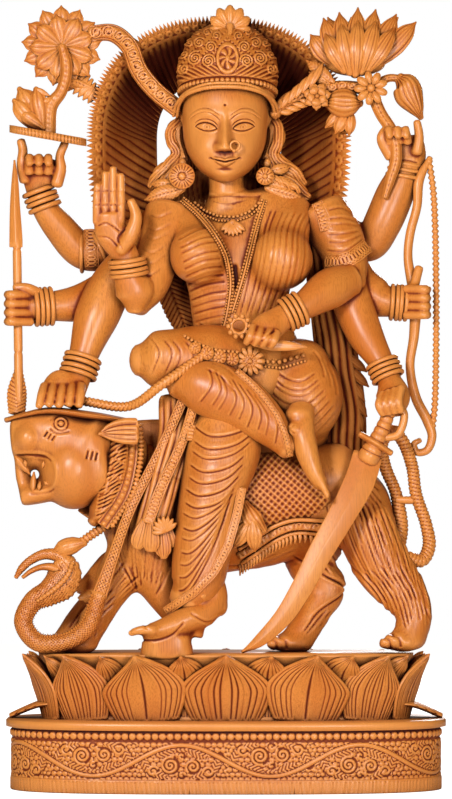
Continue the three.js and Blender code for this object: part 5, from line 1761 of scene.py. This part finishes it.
def grip(middle, reach, spacing):
    across, down, depth = middle
    bent = [[reach, 0, 4.6], [0, -6, 4.5], [-reach * 0.7, -9, 4.4], [-reach * 0.95, -2, 4.2]]
    return [
        limb([[across + over, down + i * spacing, depth + back, half] for over, back, half in bent])
        for i in (-1.5, -0.5, 0.5, 1.5)
    ]


def rightArms():
    return [
        arm([
            [160, 228, 14, 22], [120, 246, 18, 20], [86, 252, 16, 18], [61, 228, 12, 16], [46, 208, 8, 13],
            [40, 190, 6, 13, 10], [42, 172, 2, 22, 10], [44, 160, 0, 18, 8],
        ]),
        fingers(3, [40, 172, -6], [40, 156, -12], 9.5, 4.9),
        fingers(3, [40, 158, -12], [40, 164, -15], 9.5, 4.2),
        limb([[58, 184, -6, 6], [62, 168, -6, 5.6], [61, 156, -6, 4.6], [66, 143, -6, 4.2]]),
        limb([[26, 180, 0, 6], [23, 164, -4, 5.4], [24, 150, -4, 4.8], [22, 141, -4, 4.4]]),
        arm([
            [172, 214, -4, 26, 24], [162, 246, -14, 22, 22], [148, 286, -26, 20, 20], [137, 306, -32, 13, 16],
        ]),
        arm([
            [137, 309, -34, 10, 12], [136, 292, -38, 19, 17], [130, 276, -42, 15, 14],
            [127, 257, -44, 13, 11], [112, 230, -48, 16, 9], [110, 214, -50, 14, 8],
        ]),
        [
            limb([[98 + 8 * k, 222, -50, 4.4], [98 + 8 * k, 200, -53, 4.2], [98.5 + 7.8 * k, top, -54, 3.5]])
            for k, top in enumerate((185, 173, 168, 175))
        ],
        limb([[122, 250, -50, 7], [132, 234, -54, 7.4], [137, 216, -55, 5.8], [132, 201, -55, 4.2]]),
        arm([
            [150, 250, 4, 20], [112, 288, 4, 21], [84, 302, 0, 19], [55, 306, -6, 15], [34, 307, -8, 14],
            [22, 304, -8, 14, 12],
        ]),
        grip([20, 308, -14], 12, 9), limb([[40, 294, -12, 6], [28, 288, -18, 5], [16, 287, -18, 4.2]]),
        arm([
            [152, 244, -2, 22], [114, 284, -8, 22], [98, 316, -14, 22], [85, 354, -20, 15],
            [78, 377, -24, 14, 12], [68, 388, -28, 22, 13], [62, 396, -32, 22, 11],
        ]),
        [
            limb([
                [46 + 9 * k, 386, -34, 5], [43 + 9.6 * k, 395, -44, 4.8],
                [40 + 10 * k, 406 - k % 2, -48, 3.8],
            ])
            for k in range(5)
        ],
    ]


def leftArms():
    return [
        arm([
            [322, 218, 14, 20], [350, 238, 18, 20], [371, 244, 16, 17], [383, 224, 12, 19],
            [396, 194, 10, 19], [405, 172, 8, 16], [409, 156, 6, 18, 12], [406, 140, 2, 18, 9],
        ]),
        fingers(3, [400, 142, -8], [398, 128, -14], 8.5, 4.5),
        fingers(3, [398, 129, -14], [399, 137, -16], 8.5, 4),
        limb([[418, 152, -4, 5.5], [420, 136, -6, 4.8], [418, 122, -8, 4]]),
        limb([[392, 156, -4, 6.5], [383, 138, -6, 5.5], [388, 127, -6, 4]]),
        arm([
            [322, 212, -2, 26, 24], [340, 240, -6, 25, 24], [350, 270, -12, 19, 22], [352, 286, -18, 13, 16],
        ]),
        egg([352, 279, -16], [15, 17, 16]),
        arm([
            [350, 280, -20, 17, 18], [330, 289, -32, 20, 18], [304, 306, -44, 14, 13],
            [283, 318, -50, 13, 10], [268, 328, -56, 15, 10], [258, 334, -58, 13, 9],
        ]),
        [
            limb([
                [254 + 8 * k, 327 + 2 * k, -62, 4.1], [251 + 8 * k, 336 + 1.6 * k, -68, 4],
                [247 + 8.3 * k, 343 + 1.2 * k, -65, 3.3],
            ], 0.8)
            for k in range(4)
        ],
        arm([
            [340, 250, 2, 20], [360, 284, 4, 20], [376, 297, 2, 20], [390, 302, 0, 15], [409, 303, -2, 13],
            [418, 302, -4, 14, 12],
        ]),
        grip([418, 302, -9], -11, 8.5),
        limb([[414, 290, -10, 5], [420, 268, -8, 4.5]]),
        arm([
            [340, 250, -2, 20], [352, 298, -8, 20], [366, 334, -14, 18], [381, 360, -20, 13],
            [390, 380, -24, 12], [394, 396, -30, 17, 13], [391, 410, -34, 14, 11],
        ]),
        [
            limb([
                [384 + 6 * k, 394 - 2 * k, -40, 4.4], [380 + 6.4 * k, 405 - k, -46, 4.3],
                [384 + 6 * k, 414 - k, -44, 3.8],
            ])
            for k in range(4)
        ],
    ]


def bangles():
    rows = [
        ([46, 207, 8, 15.5], [40, 191, 7, 15.5], 4, 1.9),
        ([130, 274, -42, 17.5, 15.5], [128, 260, -44, 17, 15], 4, 1.8),
        ([52, 306, -6, 17.5], [37, 307, -8, 17.5], 4, 1.9), ([84, 358, -20, 17], [79, 374, -22, 17], 4, 1.9),
        ([301, 308, -46, 16, 14], [287, 315, -48, 15.5, 13], 4, 1.8),
        ([393, 302, 0, 16.5], [407, 303, 0, 16.5], 4, 1.8),
        ([383, 363, -20, 15], [389, 377, -22, 15], 4, 1.8),
        ([405, 176, 8, 17], [407, 164, 7, 15.5, 13], 3, 1.6),
        ([103, 249, 17, 20.5], [101, 250, 17, 20.5], 1, 1.6),
        ([84, 252, 16, 19.5], [82, 252, 16, 19.5], 1, 1.6),
    ]
    return [hoopAround([start, end], count, cord) for start, end, count, cord in rows]


# What the hands hold

def weapons():
    turn = fullTurn(480)
    loops = []
    for high, reach in ((-4, 0.8), (-5, 0.95), (-4.6, 1.0), (4.6, 1.0), (5, 0.95), (4, 0.8)):
        radius = 36 * reach * (1 + 0.07 * (np.abs(np.mod(turn * 30 / np.pi, 1) - 0.5) * 2) * (reach > 0.97))
        across, depth = np.cos(turn) * radius, np.sin(turn) * radius * step
        loops.append(place(np.stack([49 + across, 135.5 + across * 0.18 - high * 0.8, depth], -1)))
    disc = shell(np.array(loops))
    arrow = [
        limb([
            [20, 404, -16, 4.4], [18, 240, -12, 4.4],
        ], 1.0, lambda s: 0.5 * groove(s.run, 40, 1, 1), tip=0.2),
        limb([
            [17, 247, -13, 6.6, 3.4], [17, 240, -13, 6.6, 3.6], [16, 205, -12, 5, 3.4],
            [16, 176, -11, 3, 2.4], [15.5, 160, -10, 1, 1],
        ], edge=1.2, tip=0.1),
        limb(
            [[20, 366, -14, 4], [18, 392, -15, 10, 4], [18, 412, -18, 9, 5]], 0.9,
            lambda s: groove(s.run + 4 * np.abs(s.x), 3, 0.8, 0.6), edge=1.5,
        ),
    ]
    bow = [
        limb([
            [431, 158, 0, 3], [420, 180, 0, 5], [418, 206, 0, 4.5], [411, 234, 0, 4.5], [409, 258, 0, 4.5],
            [416, 300, -2, 6], [415, 335, 0, 5], [411, 366, 0, 4.5], [417, 398, 0, 5], [428, 420, 0, 5],
            [433, 436, 0, 4.5], [428, 450, 0, 4], [418, 452, 0, 3.6], [415, 444, 0, 3.2], [421, 440, 0, 2.6],
        ], 0.8),
        limb([
            [430, 160, 0, 3], [435, 200, 0, 3], [436, 400, 0, 3], [433, 430, 0, 3],
        ], 0.9, ripples(0.6, 1.5)),
    ]
    blade = limb([
        [369, 454, -34, 14.5, 3.4], [361, 480, -40, 15, 3.4], [344, 513, -46, 13.5, 3.4],
        [322, 551, -50, 12, 3.4], [303, 587, -52, 10.5, 3.2], [284, 617, -52, 9, 3], [260, 641, -50, 6, 3],
        [243, 652, -48, 1.5, 2],
    ], 1.0, tip=0, edge=1.2)
    hilt = [
        limb([
            [394, 404, -38, 6], [380, 436, -38, 8], [369, 458, -36, 11],
        ], 0.9, lambda s: groove(s.run, 5, 0.7, 0.6)),
        limb([[361, 434, -38, 3, 6], [376, 443, -38, 4, 13], [392, 453, -38, 3, 6]]),
        limb([[386, 438, -38, 4], [399, 434, -38, 4], [405, 414, -38, 4], [398, 404, -38, 4]]),
    ]
    dagger = [leaf([256, 344, -60], [309, 347, -56], 5.5, 3, 1, 0.35, 1), hoop([240, 326, -60], 8, 2.4),
        beads(
            place(
                [
                    [240 + 10.5 * np.cos(a), 326 + 10.5 * np.sin(a), -62]
                    for a in np.radians(np.arange(0, 360, 36))
                ]
            ),
            2.0,
        )]
    return [disc, arrow, bow, blade, hilt, dagger]


# Flowers

def flowers():
    openLotus = [
        flower([63, 46, 3], 41, 13, 1, 4, turn=8, boss=0, widest=0.62, full=1.25),
        flower([63, 47, -1], 33, 9, 1, 4, turn=20, boss=0, widest=0.6, full=1.1),
        egg([63, 46, 4], [24, 6, 24]),
    ]

    def bark(s):
        knots = 0.4 * rounded(np.mod(s.run, 4) - 2, 1.2) * (np.abs(s.x) < 0.3)
        return groove(s.x, 0.8, 0.6, 0.1) + knots

    stems = [limb(joints, 0.9, bark) for joints in (
        [
            [63, 46, -10, 4], [67, 62, -9, 6], [67, 76, -7, 6], [62, 92, -5, 6], [52, 106, -4, 7],
            [50, 132, -2, 7],
        ],
        [[62, 80, -4, 5], [80, 84, 6, 6], [98, 92, 8, 5]],
        [
            [372, 90, -2, 6], [381, 112, -4, 6], [394, 134, -8, 6], [397, 158, -8, 6], [391, 180, -8, 5],
            [386, 197, -8, 3],
        ],
        [[372, 88, 0, 5], [390, 78, 0, 4], [406, 80, 0, 4]],
    )]
    scrollBands = [
        limb(
            [
                [92, 33, 0, 8, 5], [114, 33, -2, 9, 5], [130, 46, -6, 9, 5], [140, 70, -10, 9, 5],
                [156, 90, -12, 9, 5], [178, 108, -8, 9, 5],
            ],
            0.6, layered(scrolls(9.6, 4.9, 1.2), lambda s: -0.9 * swell((np.abs(s.x) - 0.8) * s.wide, 0.5)),
            edge=3.4,
        ),
        limb([
            [274, 114, -6, 6], [290, 100, -6, 8, 5], [312, 92, -4, 8, 5], [346, 86, -2, 6], [372, 90, -4, 7],
        ], 0.7, scrolls(8, 3.6)),
    ]
    piece("scrollBands", scrollBands, keep=0.8)
    plumes = [([276 + k * 7, 112 - k * 5, -10], [284 + k * 8, 98 - k * 7, -8], 3.6) for k in range(6)]
    plumes += [([280 + k * 7, 112 - k * 4, -8], [294 + k * 7, 112 - k * 3, -6], 3.2) for k in range(4)]
    plumes += [([96 + k * 3, 84 + k * 4, 6], [84 + k * 5, 100 + k * 3, 6], 4) for k in range(-4, 2)]
    feathers = [leaf(root, tip, width, 2.4, 1.5, 0.5, 1, 0.8) for root, tip, width in plumes]
    sepals = [
        ([46, 130, 0], [20, 88, 0], (12, 5, 4), 3), ([44, 130, -4], [37, 88, -4], (9, 4, 4), 3),
        ([42, 131, -3], [15, 100, -3], (10, 4, 4), 3), ([44, 128, -6], [22, 112, -6], (7, 4, 3), 2),
    ]
    sideBud = [leaf(*ends, *sizes, 0.6, 3, blunt=blunt) for *ends, sizes, blunt in sepals]
    for root, tip in (([50, 96, -6], [36, 88, -6]), ([54, 98, -6], [44, 102, -8])):
        sideBud.append(leaf(root, tip, 3, 2.4, 1, 0.5, 1, 0.8))
    cup = []
    for i, (across, down) in enumerate([
        [311, 34], [324, 17], [340, 11], [359, 6], [377, 8], [398, 13], [418, 21],
    ]):
        side = i - 3
        root, tip = [356 + side * 7, 74 - abs(side) * 3, 0], [across, down, 4 - abs(side)]
        cup.append(leaf(root, tip, 11.5, 4.4, 9 - abs(side) * 2, 0.5, 6, depth=0.75))
    for i, (across, down) in enumerate([[326, 30], [342, 20], [359, 16], [377, 17], [396, 24]]):
        side = i - 2
        root, tip = [357 + side * 6, 74 - abs(side) * 2, -8], [across, down + 3, -5 - i % 2]
        cup.append(leaf(root, tip, 10, 4.2, 8 - abs(side), 0.48, 6, depth=0.75))
    cup += [leaf([357, 72, 8], [across, 16, 22], 13, 5, -3) for across in (328, 352, 376, 400)]
    others = [
        egg([356, 64, 2], [30, 12, 12]),
        leaf([334, 82, -4], [307, 60, -2], 7, barbs=3), leaf([330, 84, -4], [310, 72, -2], 6, barbs=3),
        flower([318, 96, -9], 14, 7, 2, 2, turn=10, boss=0.15),
        flower([372, 88, -10], 15.5, 9, 1, 3, turn=22, boss=0.26, widest=0.7, blunt=3),
        limb([
            [362, 103, -2, 4], [356, 103, -2, 11], [345, 103, -2, 15.5, 13], [334, 102, -2, 12],
            [326, 101, -2, 5],
        ], 0.9, ribs(0.35, 0.6, 0.07)),
        limb([
            [400, 78, 0, 6], [406, 84, 0, 13], [410, 95, 0, 15, 13], [417, 108, 0, 9], [422, 118, 0, 3],
        ], 0.9, ribs(0.35, 0.7, 0.07)),
        leaf([348, 112, 0], [336, 134, 0], 7), leaf([352, 112, 0], [350, 136, 0], 6),
        leaf([346, 108, 2], [326, 128, 2], 6),
    ]
    return [openLotus, stems, feathers, sideBud, cup, others]


lionSkin = lion()
lionHead()
piece("lionDetails", [lionDetails(), lionTail()], keep=0.32)
piece("snakeAndRopes", ropes())
legSkin = legs()
feet()
hipSkin = skirt()
trunk()
# Painted shade on the drape's front faces, where it hangs in the arms' shade
piece("drape", drape(), paintedLightAndTone=lambda spots, out: 0.58 * smooth(-out[:, 1], -0.3, 0.3))
# painted light on the face's front
piece("head", [face(), faceExtras(), crown()], keep=0.3, paintedLightAndTone=paintedFaceLight)
piece("hair", hair())
# painted shade in the halo's hollow
piece("halo", halo(), keep=0.42, paintedLightAndTone=paintedHaloShade)
sleeve = between([[150, 214], [160, 217], [176, 210]], [[134, 268], [148, 276], [166, 266]], 6, ragged=0.1)
palm = [
    [[98, 226], [108, 223], [122, 232]], [[98, 236], [110, 238], [119, 247]],
    [[127, 228], [119, 238], [124, 250]],
]
palm += [[[95 + 8 * k, y], [101 + 8 * k, y - 0.5]] for k in range(4) for y in (191, 205)]
rightSkin = piece("rightArms", rightArms(), fuse=0.95, softenings=3, keep=0.26, relief=layered(
    incised(sleeve, 0.4, 0.8, 0.3, 0.12, 1.5), incised(palm, 0.6, 0.7, 0.2),
))
sleeve = between([[328, 210], [344, 208], [360, 218]], [[326, 250], [346, 250], [366, 238]], 6, ragged=0.06)
creases = [[[392, 164], [404, 160], [420, 163]], [[276, 330], [268, 336], [262, 342]]]
leftSkin = piece("leftArms", leftArms(), fuse=0.95, softenings=3, keep=0.26, relief=layered(
    incised(sleeve, 0.55, 0.8, 0.4, 0.08, 2.0), incised(creases, 0.6, 0.8, 0.3),
))
# the woven bands of the sleeves lie on the arms
wovenBands = [band(line, skin, width, 1.6, -0.9, flatHatch(3.0, 0.6), 0.7, 4) for line, skin, width in (
    ([[318, 203], [324, 216], [327, 230]], leftSkin, 6),
    ([[327, 262], [340, 262], [354, 257], [368, 246]], leftSkin, 7.5),
    ([[92, 230], [92, 248], [93, 266]], rightSkin, 7.5),
)]
piece("wovenBands", wovenBands, keep=0.6)
piece("bangles", bangles())
piece("weapons", weapons(), paintedLightAndTone=evenly(-0.5))
piece("flowers", flowers(), keep=0.3)


# Stage: a plain pale floor, soft light from above and from both sides, and the camera at the photograph's
# place

def stage():
    size = 3.0
    floorMesh = bpy.data.meshes.new("floor")
    corners = [(-size, -size, 0), (size, -size, 0), (size, size, 0), (-size, size, 0)]
    floorMesh.from_pydata(corners, [], [(0, 1, 2, 3)])
    floor = put("floor", floorMesh)
    paint = bpy.data.materials.new("palePaper")
    paint.use_nodes = True
    tree = paint.node_tree
    sockets = tree.nodes["Principled BSDF"].inputs
    sockets["Base Color"].default_value = linear("#F4F2EE")
    sockets["Roughness"].default_value = 0.9
    sockets["Emission Color"].default_value = linear("#FFFFFF")
    eye = add(tree, "LightPath").outputs["Is Camera Ray"]
    glow = add(tree, "Math", {"operation": "MULTIPLY", 1: 0.93}, {0: eye})
    tree.links.new(glow.outputs[0], sockets["Emission Strength"])
    floorMesh.materials.append(paint)

    world = bpy.data.worlds.new("paleRoom")
    world.use_nodes = True
    sky = world.node_tree
    room = sky.nodes["Background"]
    room.inputs["Color"].default_value = linear("#FFD6B0")
    room.inputs["Strength"].default_value = 0.12
    paper = add(sky, "Background", {"Color": linear("#FFFFFF"), "Strength": 1.0}).outputs[0]
    direct = add(sky, "LightPath").outputs["Is Camera Ray"]
    both = add(sky, "MixShader", links={0: direct, 1: room.outputs[0], 2: paper})
    sky.links.new(both.outputs[0], sky.nodes["World Output"].inputs["Surface"])
    bpy.context.scene.world = world
    bpy.context.scene.view_settings.view_transform = "Standard"

    def lamp(name, spot, aim, size, power):
        light = bpy.data.lights.new(name, "AREA")
        light.size, light.energy = size, power
        item = put(name, light)
        item.location = spot
        towards = np.array(aim) - np.array(spot)
        item.rotation_euler = (
            np.arccos(-towards[2] / np.linalg.norm(towards)),
            0,
            np.arctan2(towards[1], towards[0]) - np.pi / 2,
        )

    lamp("key", (-0.62, -1.7, 0.76), (0, 0, 0.22), 0.3, 21.5)
    lamp("fill", (0.55, -1.8, 0.26), (0, 0, 0.08), 0.3, 14)
    lamp("back", (0.4, 1.9, 0.9), (0, 0, 0.3), 0.5, 13)


camera = {
    "away": 2.4, "high": 0.1995, "imageHeight": 799, "lineHeight": 0.000775, "sensor": 24,
    "middleHigh": 0.30035,
}


def photographersView(look):
    seenHeight = look["imageHeight"] * look["lineHeight"]
    data = bpy.data.cameras.new("camera")
    data.sensor_fit = "VERTICAL"
    data.sensor_height = look["sensor"]
    data.lens = look["sensor"] * look["away"] / seenHeight
    data.shift_y = (look["middleHigh"] - look["high"]) / seenHeight
    item = put("camera", data)
    item.location = (0, -look["away"], look["high"])
    item.rotation_euler = (np.pi / 2, 0, 0)
    bpy.context.scene.camera = item


stage()
photographersView(camera)
print("stage and camera ready")
